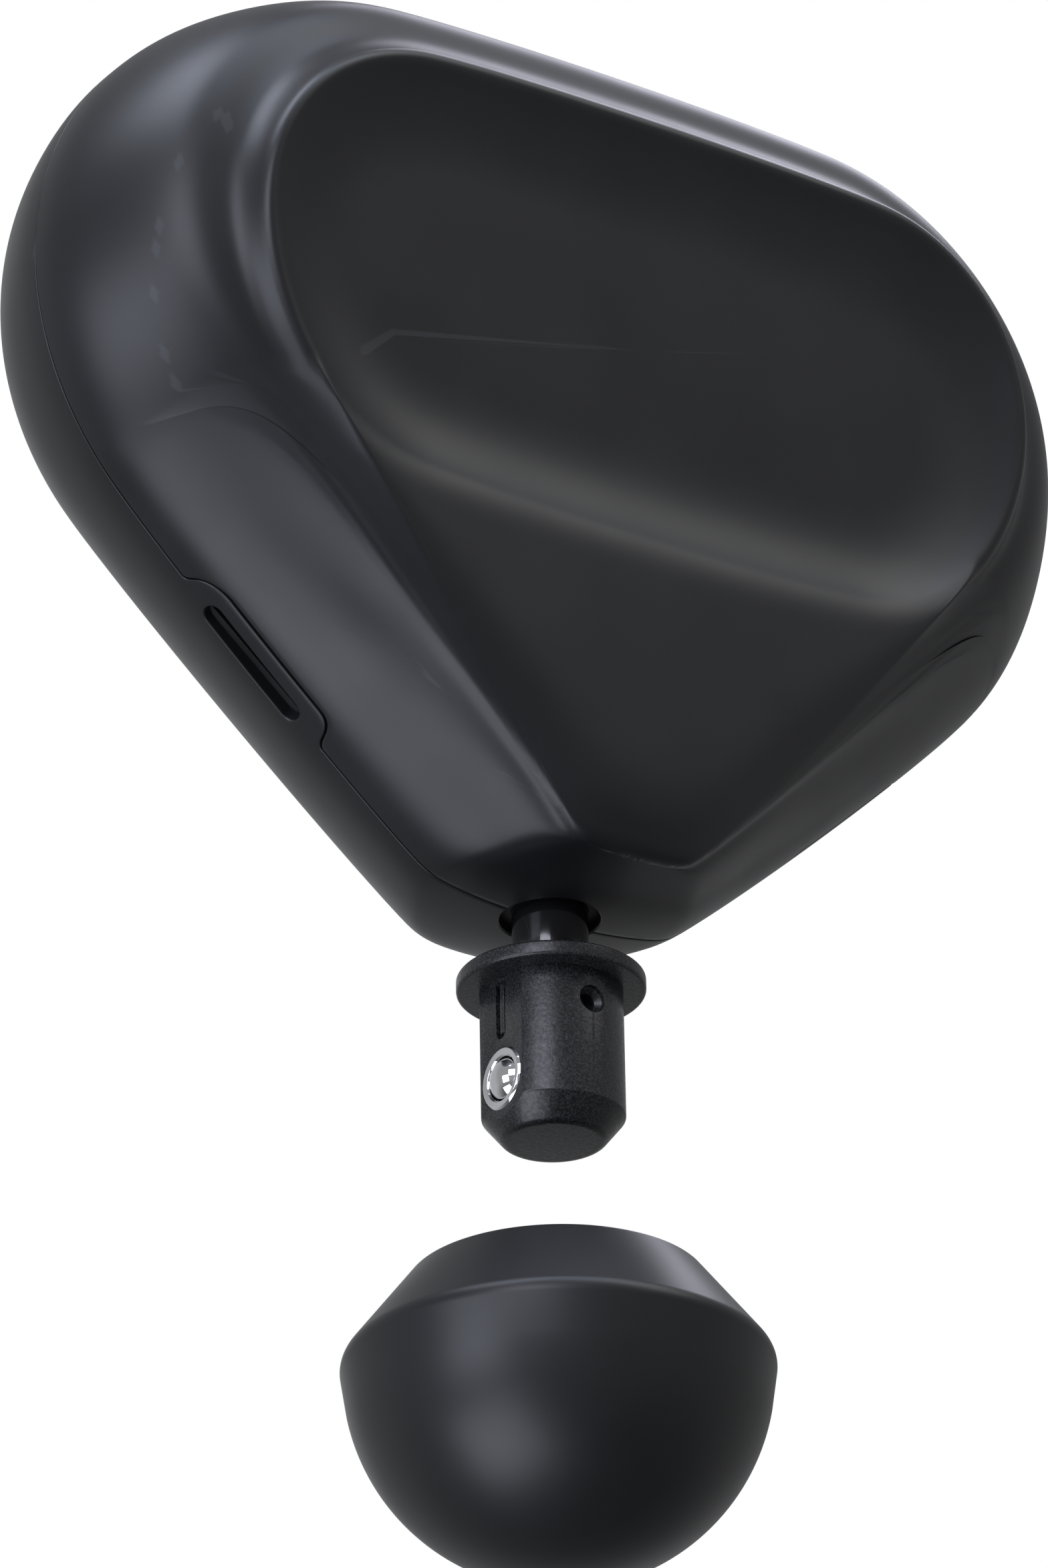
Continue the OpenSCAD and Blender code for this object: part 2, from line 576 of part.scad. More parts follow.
module housing_screws() color("#8d9095") at_grip() for (p = boss_at) both_sides() along_y(6, p.y, p.x) difference() {
    union() {
        translate([0, 0, -13]) cylinder(r = 1.1, h = 13);
        cylinder(r = 1.2, h = 2.1);
        translate([0, 0, 2.05]) cylinder(r = 2.2, h = 1.6);
    }
    translate([0, 0, 2.6]) cylinder(r = 0.9, h = 3, $fn = 6);
}
module screw_caps() color("#26272a") at_grip() intersection() {
    rear_solid();
    for (p = boss_at) both_sides() along_y(11, p.y, p.x) cylinder(r = 2.4, h = 20);
}

front_shell();
rear_shell();
vent_liners();
shaft_seal();
bushing_lower();
bushing_upper();
drive_frame();
frame_dampers();
frame_screws();
motor_base();
motor_bearings();
stator_core();
stator_windings();
motor_leads();
main_board();
board_chips();
power_switch();
led_lenses();
battery_cells();
battery_cradles();
cell_tabs();
battery_leads();
charge_socket();
charge_board();
housing_screws();
screw_caps();
power_button();
rotor_bell();
rotor_magnets();
motor_shaft();
crank_disc();
connecting_rod();
crank_bearing();
crank_pin();
drive_shaft();
crosshead();
wrist_pin();
arbor();
cross_pin();
detent_ring();
detent_ball();
detent_spring();
head_core();
head_dome();
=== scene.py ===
"""Looks of a pocket massage gun round its CAD frame.

The casing is skinned from section curves like those of the CAD shells, only denser, with softer edges
round the facet over the nose and rounded edges at the parting line, the dish rim, the vents and every hole.
The arbor, detent, head, button and lights are turned or cut meshes with softened edges. The inner parts
keep their CAD meshes and get materials. Shapes are worked out in millimetres. Heights named h are counted
from the hole in the nose.
"""

import json
import math

import bmesh
import bpy
import numpy as np
from mathutils import Matrix, Vector
from mathutils.bvhtree import BVHTree


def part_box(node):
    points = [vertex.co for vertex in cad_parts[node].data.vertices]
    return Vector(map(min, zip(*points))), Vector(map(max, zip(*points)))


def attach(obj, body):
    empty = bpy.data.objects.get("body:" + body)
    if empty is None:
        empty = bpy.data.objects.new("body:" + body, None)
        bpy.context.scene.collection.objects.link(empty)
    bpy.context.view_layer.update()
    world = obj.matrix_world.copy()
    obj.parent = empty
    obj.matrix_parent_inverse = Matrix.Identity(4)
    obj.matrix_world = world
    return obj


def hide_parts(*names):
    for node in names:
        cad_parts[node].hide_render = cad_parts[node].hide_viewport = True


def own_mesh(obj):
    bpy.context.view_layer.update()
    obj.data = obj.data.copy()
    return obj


MM = 0.001
GRIP_H = 62.0  # height of the part's origin over the nose hole

# Rings of the casing: circles (x, h, radius), each mirrored about X = 0
PARTING = [(27.2, 62.9, 37.5), (12.2, 5.9, 5.0)]
SHOULDER = [(26.7, 65.7, 30.5), (5.0, 9.4, 5.8)]
FACE = [(24.9, 63.3, 26.7), (0.0, 6.8, 8.5)]
RIM = [(28.4, 64.4, 21.2), (26.1, 58.2, 21.2)]
HAUNCH = [(28.6, 63.3, 31.9), (2.0, 8.3, 7.3)]
BACK_EDGE = [(27.8, 63.8, 16.1), (0.0, 25.4, 5.0)]
BACK_FLAT = [(13.6, 63.8, 2.0), (0.0, 38.4, 2.5)]
SOFTNESS = 0.96  # how tightly an outline follows its circles

# Depths of the rings, and how the front's two middle ones shift towards the nose
PARTING_FRONT_Y = -5.5
PARTING_BACK_Y = 4.1
SHOULDER_Y = -18.4
NOSE_SHOULDER_Y = 1.6  # the shoulder draws back
NOSE_SHOULDER_H = (10, 48)  # the whole shift below the first height, none above the second
NOSE_FACE_Y = -1.2  # the face comes forward
NOSE_FACE_H = (6, 40)
HAUNCH_Y = 17.1
BACK_EDGE_Y = 28.2
BACK_Y = 29.7
BACK_MIDDLE = 0.35  # the lines run in over the flat back to this share of its ring

# Rounding of the facet's edges: the depth is averaged over a grid of squares
EASE = 2.8  # reach of the average
EASE_MOST = 2.6  # no point moves further than this
EASE_H = (16, 48)  # full effect below the first height, none above the second
EASE_Y = (8, 15)  # none up to the first depth, full effect past the second
EASE_RIM = (2, 14)  # the same for the distance from the dish rim
EASE_STEP = 0.5
EASE_CELLS = 280  # squares along each side of the grid
EASE_CORNER = (-70.0, -20.0)  # the grid's first square, (x, h)
INNER_EASE = 1.1  # the inner face stays this many wall thicknesses behind

# Rows of points over a shell, from its edge to the rim or to the flat of the back
FRONT_ROWS = 96
REAR_ROWS = 104
INNER_ROWS = 24
TAB_SAMPLES = 200  # how much of the front's curves, next to the parting line, the rear's tabs can use
INNER_TAB_SAMPLES = 240

# Walls, dish, nose and parting line
WALL = 2.2
RIM_Y = -23.2
RIM_LEAN = -0.09
RIM_ROUND = 1.5  # run of the rounded rim on either side of its edge
DISH_DEPTH = 3.0
DISH_RUN = 13.5
DISH_POWER = 2.6  # how soon the dish levels out
DISH_RINGS = np.arange(2.2, 14.0, 0.6)
CREASE_R = 17.6
CREASE_RISE = 2.5
CREASE_BLEND = 0.45
NOSE_BACK = 1.6
NOSE_WALL = 3.0
SEAM_GAP = 0.12
SEAM_ROUND = 0.16

# Side vents, their tabs, and the holes
SIDE = (38.4, 20.1)  # middle of the straight side, (x, h)
SIDE_TILT = math.radians(40.5)
TAB_L = 21.8
TAB_W = 6.6
SLOT_L = 15.1
SLOT_W = 2.6
HOLE_R = 5.4
BUTTON_HOLE_R = 6.8
LIGHT_HOLE_R = 1.2
PORT_SIZE = (9.6, 3.8)
CAP_R = 2.4
CAP_GAP = 0.06

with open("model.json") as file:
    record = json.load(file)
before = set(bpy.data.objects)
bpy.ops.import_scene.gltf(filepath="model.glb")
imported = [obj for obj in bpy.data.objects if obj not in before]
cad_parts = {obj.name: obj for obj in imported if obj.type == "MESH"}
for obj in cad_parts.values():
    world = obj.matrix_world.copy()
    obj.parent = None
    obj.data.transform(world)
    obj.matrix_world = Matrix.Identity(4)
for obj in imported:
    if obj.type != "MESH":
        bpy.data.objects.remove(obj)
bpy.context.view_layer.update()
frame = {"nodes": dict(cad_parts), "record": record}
NODES = frame["nodes"]


# ---- camera, stage and light ----

CAMERA_TURN = math.radians(-34.65)
CAMERA_RISE = math.radians(-26.33)
CAMERA_ROLL = math.radians(-1.04)
CAMERA_DISTANCE = 921.35
CAMERA_OFFSET = (-2.76, 15.08)  # the view's centre from the nose hole, in the view's own plane
CAMERA_LENS = 198.7
LIGHT_AIM = Vector((0, 0, -0.02))  # the point that the lights turn to, in metres
FLOOR_HALF = 12.0
FLOOR_Z = -0.62


def make_camera():
    """The camera looks up at the nose from the front left, through a long lens."""
    back = Vector((
        math.sin(CAMERA_TURN) * math.cos(CAMERA_RISE),
        -math.cos(CAMERA_TURN) * math.cos(CAMERA_RISE),
        math.sin(CAMERA_RISE),
    ))
    level = Vector((math.cos(CAMERA_TURN), math.sin(CAMERA_TURN), 0))
    upright = back.cross(level)
    right = level * math.cos(CAMERA_ROLL) + upright * math.sin(CAMERA_ROLL)
    up = upright * math.cos(CAMERA_ROLL) - level * math.sin(CAMERA_ROLL)
    place = right * CAMERA_OFFSET[0] + up * CAMERA_OFFSET[1] + back * CAMERA_DISTANCE
    place.z -= GRIP_H
    data = bpy.data.cameras.new("camera")
    data.sensor_fit = "VERTICAL"
    data.sensor_height = 36
    data.lens = CAMERA_LENS
    data.clip_end = 100
    camera = bpy.data.objects.new("camera", data)
    bpy.context.scene.collection.objects.link(camera)
    camera.matrix_world = Matrix.Translation(place * MM) @ Matrix((right, up, back)).transposed().to_4x4()
    bpy.context.scene.camera = camera


def softbox(name, towards, distance, size, glow, colour):
    """A square area light in a direction from the casing, turned towards it. glow is its brightness."""
    data = bpy.data.lights.new(name, "AREA")
    data.shape = "RECTANGLE"
    data.size = data.size_y = size
    data.energy = glow * math.pi * size * size
    data.color = colour
    light = bpy.data.objects.new(name, data)
    bpy.context.scene.collection.objects.link(light)
    out = Vector(towards).normalized()
    turn = out.to_track_quat("Z", "Y").to_matrix().to_4x4()
    light.matrix_world = Matrix.Translation(out * distance + LIGHT_AIM) @ turn


def sky_band(nodes, links, value, near, far, low, high):
    """A light strength that goes smoothly from low to high as a direction's part goes from near to far."""
    band = nodes.new("ShaderNodeMapRange")
    band.interpolation_type = "SMOOTHSTEP"
    band.inputs["From Min"].default_value = near
    band.inputs["From Max"].default_value = far
    band.inputs["To Min"].default_value = low
    band.inputs["To Max"].default_value = high
    links.new(value, band.inputs["Value"])
    return band.outputs[0]


def make_world():
    """White for the camera, and for light a dim sky: a little brighter behind, and darker below."""
    world = bpy.data.worlds.new("studio")
    bpy.context.scene.world = world
    world.use_nodes = True
    nodes, links = world.node_tree.nodes, world.node_tree.links
    nodes.clear()
    place = nodes.new("ShaderNodeTexCoord")
    split = nodes.new("ShaderNodeSeparateXYZ")
    links.new(place.outputs["Generated"], split.inputs[0])
    strength = nodes.new("ShaderNodeMath")
    strength.operation = "MULTIPLY"
    links.new(sky_band(nodes, links, split.outputs["Y"], 0.3, 0.8, 0.30, 0.42), strength.inputs[0])
    links.new(sky_band(nodes, links, split.outputs["Z"], -0.85, -0.1, 0.3, 1.0), strength.inputs[1])
    sky = nodes.new("ShaderNodeBackground")
    sky.inputs["Color"].default_value = (0.97, 0.98, 1, 1)
    links.new(strength.outputs[0], sky.inputs["Strength"])
    white = nodes.new("ShaderNodeBackground")
    white.inputs["Color"].default_value = (1, 1, 1, 1)
    ray = nodes.new("ShaderNodeLightPath")
    mix = nodes.new("ShaderNodeMixShader")
    links.new(ray.outputs["Is Camera Ray"], mix.inputs[0])
    links.new(sky.outputs[0], mix.inputs[1])
    links.new(white.outputs[0], mix.inputs[2])
    out = nodes.new("ShaderNodeOutputWorld")
    links.new(mix.outputs[0], out.inputs["Surface"])


def make_floor():
    """A wide pale floor, below the camera, that neither shades nor tints the object."""
    mesh = bpy.data.meshes.new("floor")
    corners = [(-FLOOR_HALF, -FLOOR_HALF), (FLOOR_HALF, -FLOOR_HALF), (FLOOR_HALF, FLOOR_HALF),
               (-FLOOR_HALF, FLOOR_HALF)]
    mesh.from_pydata([(x, y, FLOOR_Z) for x, y in corners], [], [(0, 1, 2, 3)])
    floor = bpy.data.objects.new("floor", mesh)
    bpy.context.scene.collection.objects.link(floor)
    plain = bpy.data.materials.new("floor_plain")
    plain.use_nodes = True
    shader = plain.node_tree.nodes["Principled BSDF"]
    shader.inputs["Base Color"].default_value = (0.9, 0.9, 0.9, 1)
    shader.inputs["Roughness"].default_value = 0.9
    mesh.materials.append(plain)
    floor.visible_glossy = False
    floor.visible_diffuse = False
    floor.visible_shadow = False


make_camera()
make_world()
make_floor()
softbox("key", (-0.39, -0.04, 0.89), 1.2, 0.6, 5.2, (0.78, 0.84, 1.0))
softbox("left_front", (-0.7, -0.6, 0.3), 1.2, 0.6, 4.2, (0.84, 0.86, 1.0))
softbox("left", (-0.97, -0.2, -0.1), 1.2, 0.6, 4.0, (0.80, 0.84, 1.0))
softbox("low_left", (-0.6, -0.05, -0.8), 1.1, 0.7, 3.6, (0.86, 0.89, 1.0))
softbox("front", (0.35, -0.55, 0.76), 1.4, 0.7, 1.9, (1.0, 0.99, 0.96))
softbox("top_front", (0.0, -0.4, 0.92), 1.2, 0.6, 2.6, (0.74, 0.82, 1.0))
softbox("top", (0.51, 0.26, 0.82), 1.2, 0.5, 3.6, (0.86, 0.86, 1.0))
softbox("behind", (0.3, 0.85, 0.35), 1.4, 0.9, 0.25, (0.95, 0.97, 1.0))
bpy.context.scene.view_settings.view_transform = "Standard"


# ---- materials ----

def shader_nodes(name):
    """A new material, its node tree and its main shader."""
    made = bpy.data.materials.new(name)
    made.use_nodes = True
    tree = made.node_tree
    return made, tree, tree.nodes["Principled BSDF"]


def noise(tree, scale, detail=3.0, stretch=(1, 1, 1)):
    """A noise value over object coordinates, with scale in cycles per metre."""
    place = tree.nodes.new("ShaderNodeTexCoord")
    mapping = tree.nodes.new("ShaderNodeMapping")
    mapping.inputs["Scale"].default_value = stretch
    value = tree.nodes.new("ShaderNodeTexNoise")
    value.inputs["Scale"].default_value = scale
    value.inputs["Detail"].default_value = detail
    tree.links.new(place.outputs["Object"], mapping.inputs[0])
    tree.links.new(mapping.outputs[0], value.inputs["Vector"])
    return value.outputs["Fac"]


def ranged(tree, value, low, high, start=0.3, end=0.7):
    """Spreads a value between low and high."""
    node = tree.nodes.new("ShaderNodeMapRange")
    node.inputs["From Min"].default_value = start
    node.inputs["From Max"].default_value = end
    node.inputs["To Min"].default_value = low
    node.inputs["To Max"].default_value = high
    tree.links.new(value, node.inputs["Value"])
    return node.outputs[0]


def mixed(tree, factor, first, second):
    """A colour between two, each a tuple or another node's output."""
    node = tree.nodes.new("ShaderNodeMix")
    node.data_type = "RGBA"
    tree.links.new(factor, node.inputs["Factor"])
    for key, colour in (("A", first), ("B", second)):
        socket = [s for s in node.inputs if s.name == key and s.type == "RGBA"][0]
        if isinstance(colour, tuple):
            socket.default_value = (*colour, 1)
        else:
            tree.links.new(colour, socket)
    return [s for s in node.outputs if s.type == "RGBA"][0]


def bumped(tree, shader, value, strength, depth):
    """Lets a value raise the shader's surface by up to depth metres."""
    node = tree.nodes.new("ShaderNodeBump")
    node.inputs["Strength"].default_value = strength
    node.inputs["Distance"].default_value = depth
    tree.links.new(value, node.inputs["Height"])
    tree.links.new(node.outputs[0], shader.inputs["Normal"])


def finish_material(name, dark, light, rough, grain=1500, grain_depth=0.00002, strength=0.2, metallic=0.0,
                    mottle=60, stretch=(1, 1, 1), wear=None, coat=0.0, specular=0.5):
    """Colour and roughness that vary over the surface, a fine grain, and worn edges if wear is a colour."""
    made, tree, shader = shader_nodes(name)
    patches = noise(tree, mottle, 4)
    fine = noise(tree, grain, 2, stretch)
    colour = mixed(tree, ranged(tree, patches, 0, 1), dark, light)
    if wear:
        geometry = tree.nodes.new("ShaderNodeNewGeometry")
        edges = ranged(tree, geometry.outputs["Pointiness"], 0, 0.7, 0.53, 0.62)
        colour = mixed(tree, edges, colour, wear)
    tree.links.new(colour, shader.inputs["Base Color"])
    tree.links.new(ranged(tree, patches, *rough), shader.inputs["Roughness"])
    shader.inputs["Metallic"].default_value = metallic
    shader.inputs["Coat Weight"].default_value = coat
    shader.inputs["Coat Roughness"].default_value = 0.12
    shader.inputs["Specular IOR Level"].default_value = specular
    bumped(tree, shader, fine, strength, grain_depth)
    return made


def speckled(name, dark, light, rough, spacing, depth):
    """Moulded, glass-filled polymer: a satin black with a dense fine speckle."""
    made, tree, shader = shader_nodes(name)
    fine = noise(tree, spacing, 4)
    flecks = noise(tree, spacing * 2.3, 1)
    colour = mixed(tree, ranged(tree, flecks, 0, 1, 0.42, 0.66), dark, light)
    tree.links.new(colour, shader.inputs["Base Color"])
    tree.links.new(ranged(tree, fine, *rough), shader.inputs["Roughness"])
    bumped(tree, shader, fine, 0.55, depth)
    return made


def windings(name):
    """Enamelled copper wire laid side by side."""
    made, tree, shader = shader_nodes(name)
    place = tree.nodes.new("ShaderNodeTexCoord")
    wave = tree.nodes.new("ShaderNodeTexWave")
    wave.bands_direction = "Y"
    wave.inputs["Scale"].default_value = 900
    wave.inputs["Distortion"].default_value = 0.6
    tree.links.new(place.outputs["Object"], wave.inputs["Vector"])
    tree.links.new(mixed(tree, wave.outputs["Fac"], (0.28, 0.09, 0.03), (0.62, 0.24, 0.09)),
                   shader.inputs["Base Color"])
    tree.links.new(ranged(tree, noise(tree, 400), 0.2, 0.38), shader.inputs["Roughness"])
    shader.inputs["Metallic"].default_value = 0.85
    bumped(tree, shader, wave.outputs["Fac"], 0.6, 0.0001)
    return made


def board_green(name):
    """Solder mask with faint tracks under it."""
    made, tree, shader = shader_nodes(name)
    place = tree.nodes.new("ShaderNodeTexCoord")
    bricks = tree.nodes.new("ShaderNodeTexBrick")
    bricks.inputs["Scale"].default_value = 420
    bricks.inputs["Mortar Size"].default_value = 0.03
    bricks.inputs["Color1"].default_value = (0.010, 0.075, 0.032, 1)
    bricks.inputs["Color2"].default_value = (0.012, 0.085, 0.038, 1)
    bricks.inputs["Mortar"].default_value = (0.03, 0.15, 0.06, 1)
    tree.links.new(place.outputs["Object"], bricks.inputs["Vector"])
    tree.links.new(bricks.outputs["Color"], shader.inputs["Base Color"])
    tree.links.new(ranged(tree, noise(tree, 300), 0.25, 0.4), shader.inputs["Roughness"])
    bumped(tree, shader, bricks.outputs["Fac"], 0.3, 0.00004)
    return made


MATERIALS = {
    "copper": windings("copper"),
    "circuit_board": board_green("circuit_board"),
    "arbor_polymer": speckled("arbor_polymer", (0.006, 0.006, 0.007), (0.034, 0.035, 0.038), (0.24, 0.40),
                              2200, 0.00005),
}


def stock(name, dark, light, rough, **rest):
    """Makes a finish and keeps it under its name."""
    MATERIALS[name] = finish_material(name, dark, light, rough, **rest)


stock("soft_touch", (0.0075, 0.0078, 0.0092), (0.0105, 0.0108, 0.0125), (0.36, 0.42),
      grain=2600, strength=0.16, wear=(0.032, 0.033, 0.037))
stock("inner_plastic", (0.006, 0.006, 0.0065), (0.010, 0.010, 0.011), (0.5, 0.65))
stock("seal_rubber", (0.004, 0.004, 0.0045), (0.007, 0.007, 0.008), (0.55, 0.7), grain=900, strength=0.3)
stock("bronze", (0.36, 0.22, 0.09), (0.48, 0.31, 0.14), (0.28, 0.4),
      metallic=1, grain=1200, stretch=(1, 1, 6))
stock("cast_alloy", (0.30, 0.31, 0.33), (0.40, 0.41, 0.43), (0.42, 0.58),
      metallic=1, grain=1100, strength=0.45, wear=(0.6, 0.6, 0.62))
stock("steel", (0.48, 0.49, 0.51), (0.60, 0.61, 0.63), (0.2, 0.32),
      metallic=1, grain=900, stretch=(1, 12, 1), wear=(0.75, 0.75, 0.77))
stock("black_steel", (0.035, 0.036, 0.04), (0.055, 0.056, 0.06), (0.3, 0.42), metallic=1, grain=1400)
stock("wire_red", (0.28, 0.018, 0.014), (0.36, 0.03, 0.022), (0.35, 0.45), grain=1800)
stock("lens", (0.62, 0.65, 0.68), (0.72, 0.75, 0.78), (0.12, 0.2), grain=1500, strength=0.05, coat=0.6)
stock("cell_wrap", (0.02, 0.09, 0.26), (0.03, 0.12, 0.33), (0.22, 0.32), grain=500, strength=0.12)
stock("button_plastic", (0.022, 0.0225, 0.025), (0.028, 0.0285, 0.031), (0.34, 0.42),
      grain=2600, strength=0.12, wear=(0.05, 0.05, 0.055))
stock("black_chrome", (0.008, 0.008, 0.009), (0.012, 0.012, 0.013), (0.05, 0.10),
      grain=700, stretch=(1, 1, 8), strength=0.03, coat=1.0)
stock("bright_chrome", (0.86, 0.87, 0.89), (0.93, 0.93, 0.95), (0.03, 0.07),
      metallic=1, grain=600, strength=0.02)
stock("head_rubber", (0.0075, 0.0078, 0.009), (0.0105, 0.0108, 0.0122), (0.36, 0.42),
      grain=2200, strength=0.14, wear=(0.028, 0.029, 0.032))


# ---- mesh helpers ----

def skin(stack, first_cap=True, last_cap=True):
    """Vertices and faces over a stack of equal rings, closed at both ends round their middles."""
    rings, points = stack.shape[:2]
    vertices = [tuple(p) for ring in stack for p in ring]
    faces = []
    for i in range(rings - 1):
        for j in range(points):
            k = (j + 1) % points
            a, b = i * points + j, i * points + k
            faces.append((a, b, b + points, a + points))
    for wanted, ring in ((first_cap, 0), (last_cap, rings - 1)):
        if wanted:
            vertices.append(tuple(stack[ring].mean(0)))
            start = ring * points
            faces += [(start + j, start + (j + 1) % points, len(vertices) - 1) for j in range(points)]
    return vertices, faces


def new_object(name, vertices, faces, sharp=40):
    """A smooth-shaded mesh object from millimetre points in hole heights, placed in the part's frame."""
    mesh = bpy.data.meshes.new(name)
    mesh.from_pydata([(x * MM, y * MM, (z - GRIP_H) * MM) for x, y, z in vertices], [], faces)
    tidy = bmesh.new()
    tidy.from_mesh(mesh)
    bmesh.ops.remove_doubles(tidy, verts=tidy.verts, dist=1e-7)
    bmesh.ops.recalc_face_normals(tidy, faces=tidy.faces)
    tidy.to_mesh(mesh)
    tidy.free()
    made = bpy.data.objects.new(name, mesh)
    bpy.context.scene.collection.objects.link(made)
    shade(made, sharp)
    return made


def shade(made, sharp=40):
    """Smooth shading, with edges steeper than sharp degrees kept crisp."""
    for polygon in made.data.polygons:
        polygon.use_smooth = True
    made.data.set_sharp_from_angle(angle=math.radians(sharp))


def apply_modifiers(made):
    """Swaps the mesh for the one its modifiers make."""
    bpy.context.view_layer.update()
    seen = made.evaluated_get(bpy.context.evaluated_depsgraph_get())
    mesh = bpy.data.meshes.new_from_object(seen)
    made.modifiers.clear()
    made.data = mesh


def cut(made, cutters):
    """Takes the cutters away from a closed mesh, and removes them."""
    for cutter in cutters:
        step = made.modifiers.new("cut", "BOOLEAN")
        step.operation = "DIFFERENCE"
        step.solver = "EXACT"
        step.use_hole_tolerant = True
        step.object = cutter
    apply_modifiers(made)
    for cutter in cutters:
        bpy.data.objects.remove(cutter)


def soften(made, width, angle=35, segments=3):
    """Rounds the sharp edges."""
    step = made.modifiers.new("soften", "BEVEL")
    step.width = width * MM
    step.segments = segments
    step.limit_method = "ANGLE"
    step.angle_limit = math.radians(angle)
    step.use_clamp_overlap = True
    step.miter_outer = "MITER_ARC"
    apply_modifiers(made)


def show(made, material, body, *replaced):
    """Gives a piece its finish and its body, and hides the CAD nodes that it stands for."""
    made.data.materials.clear()
    made.data.materials.append(MATERIALS[material])
    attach(made, body)
    if replaced:
        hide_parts(*replaced)
    return made


def rounded(corners, steps=6):
    """Outline through corners (r, z, rounding), each rounded by an arc of that radius."""
    points = []
    count = len(corners)
    for i, (r, z, rounding) in enumerate(corners):
        here = np.array([r, z])
        if rounding == 0 or i in (0, count - 1):
            points.append(here)
            continue
        to_last = np.array(corners[i - 1][:2]) - here
        to_next = np.array(corners[i + 1][:2]) - here
        to_last = to_last / np.linalg.norm(to_last)
        to_next = to_next / np.linalg.norm(to_next)
        half = math.acos(np.clip(to_last @ to_next, -1, 1)) / 2
        middle = (to_last + to_next) / np.linalg.norm(to_last + to_next)
        centre = here + middle * rounding / math.sin(half)
        start = here + to_last * rounding / math.tan(half) - centre
        end = here + to_next * rounding / math.tan(half) - centre
        turn = math.atan2(start[0] * end[1] - start[1] * end[0], start @ end)
        for k in range(steps + 1):
            a = turn * k / steps
            points.append(centre + np.array([start[0] * math.cos(a) - start[1] * math.sin(a),
                                             start[0] * math.sin(a) + start[1] * math.cos(a)]))
    return points


def lathe(name, profile, centre=(0, 0, 0), axis="Z", around=160, sharp=40):
    """Turns a closed outline of (r, z) points about an axis through centre, with z along the axis."""
    angles = np.linspace(0, 2 * math.pi, around, endpoint=False)
    stack = []
    for r, z in profile:
        across, up = r * np.cos(angles), r * np.sin(angles)
        along = np.full(around, z)
        ring = {"Z": (across, up, along), "Y": (across, along, -up), "X": (along, across, up)}[axis]
        stack.append(np.stack(ring, 1) + np.array(centre))
    open_ends = profile[0][0] > 1e-6
    vertices, faces = skin(np.array(stack), not open_ends, not open_ends)
    if open_ends:
        last = (len(profile) - 1) * around
        faces += [(last + j, last + (j + 1) % around, (j + 1) % around, j) for j in range(around)]
    return new_object(name, vertices, faces, sharp)


# ---- casing ----

def outline(circles, inset, angles):
    """Points (x, h) of the soft outline round mirrored circles, where its outward direction is an angle."""
    both = np.array([(side * x, h, r - inset) for x, h, r in circles for side in (1, -1)])
    c, s = np.cos(angles), np.sin(angles)
    reach = np.outer(c, both[:, 0]) + np.outer(s, both[:, 1]) + both[:, 2]
    top = reach.max(1)
    weight = np.exp(SOFTNESS * (reach - top[:, None]))
    total = weight.sum(1)
    out = top + np.log(total) / SOFTNESS
    along = (weight * (np.outer(c, both[:, 1]) - np.outer(s, both[:, 0]))).sum(1) / total
    return np.stack([out * c - along * s, out * s + along * c], 1)


def at_y(points, y):
    """Outline points (x, h) set at a depth, or at a depth for each."""
    return np.stack([points[:, 0], np.broadcast_to(y, len(points)), points[:, 1]], 1)


def rim_y(h):
    """Depth of the dish rim, which leans a little, at a height."""
    return RIM_Y + RIM_LEAN * (h - GRIP_H)


def spline(controls, samples=481):
    """Clamped cubic B-splines, one for each column of control points."""
    c = np.array([2 * controls[0] - controls[1], *controls, 2 * controls[-1] - controls[-2]])
    t = np.linspace(0, len(controls) - 1, samples)
    i = np.minimum(t.astype(int), len(controls) - 2)
    u = (t - i)[:, None, None]
    return ((1 - u) ** 3 * c[i] + (3 * u ** 3 - 6 * u ** 2 + 4) * c[i + 1]
            + (-3 * u ** 3 + 3 * u ** 2 + 3 * u + 1) * c[i + 2] + u ** 3 * c[i + 3]) / 6


def settle(points, lift=0.0):
    """The nose ends in a shallow dome: no point lies below it."""
    p = points.copy()
    shift = NOSE_BACK * np.minimum(1, np.hypot(p[..., 0], p[..., 1]) / CREASE_R)
    radius = np.hypot(p[..., 0], p[..., 1] + shift)
    low = CREASE_RISE * (radius / CREASE_R) ** 2 + lift
    p[..., 2] = low + CREASE_BLEND * np.logaddexp(0, (p[..., 2] - low) / CREASE_BLEND)
    return p


def nearness(h, near, far):
    """1 up to the height near, falling smoothly to 0 at the height far."""
    t = np.clip((h - near) / (far - near), 0, 1)
    return 1 - t * t * (3 - 2 * t)


def sharp_front(angles, inset=0.0):
    """Section curves from the parting line to the rim, or to the inner face, with the facet's edges crisp."""
    parting = outline(PARTING, inset, angles)
    shoulder = outline(SHOULDER, inset, angles)
    face = outline(FACE, inset, angles)
    shoulder_y = SHOULDER_Y + inset + NOSE_SHOULDER_Y * nearness(shoulder[:, 1], *NOSE_SHOULDER_H)
    face_y = SHOULDER_Y + inset + NOSE_FACE_Y * nearness(face[:, 1], *NOSE_FACE_H)
    controls = [at_y(parting, 0), at_y(parting, PARTING_FRONT_Y), at_y(shoulder, shoulder_y),
                at_y(face, face_y)]
    if inset == 0:
        edge = outline(RIM, 0, angles)
        controls.append(at_y(edge, rim_y(edge[:, 1])))
    return spline(controls)


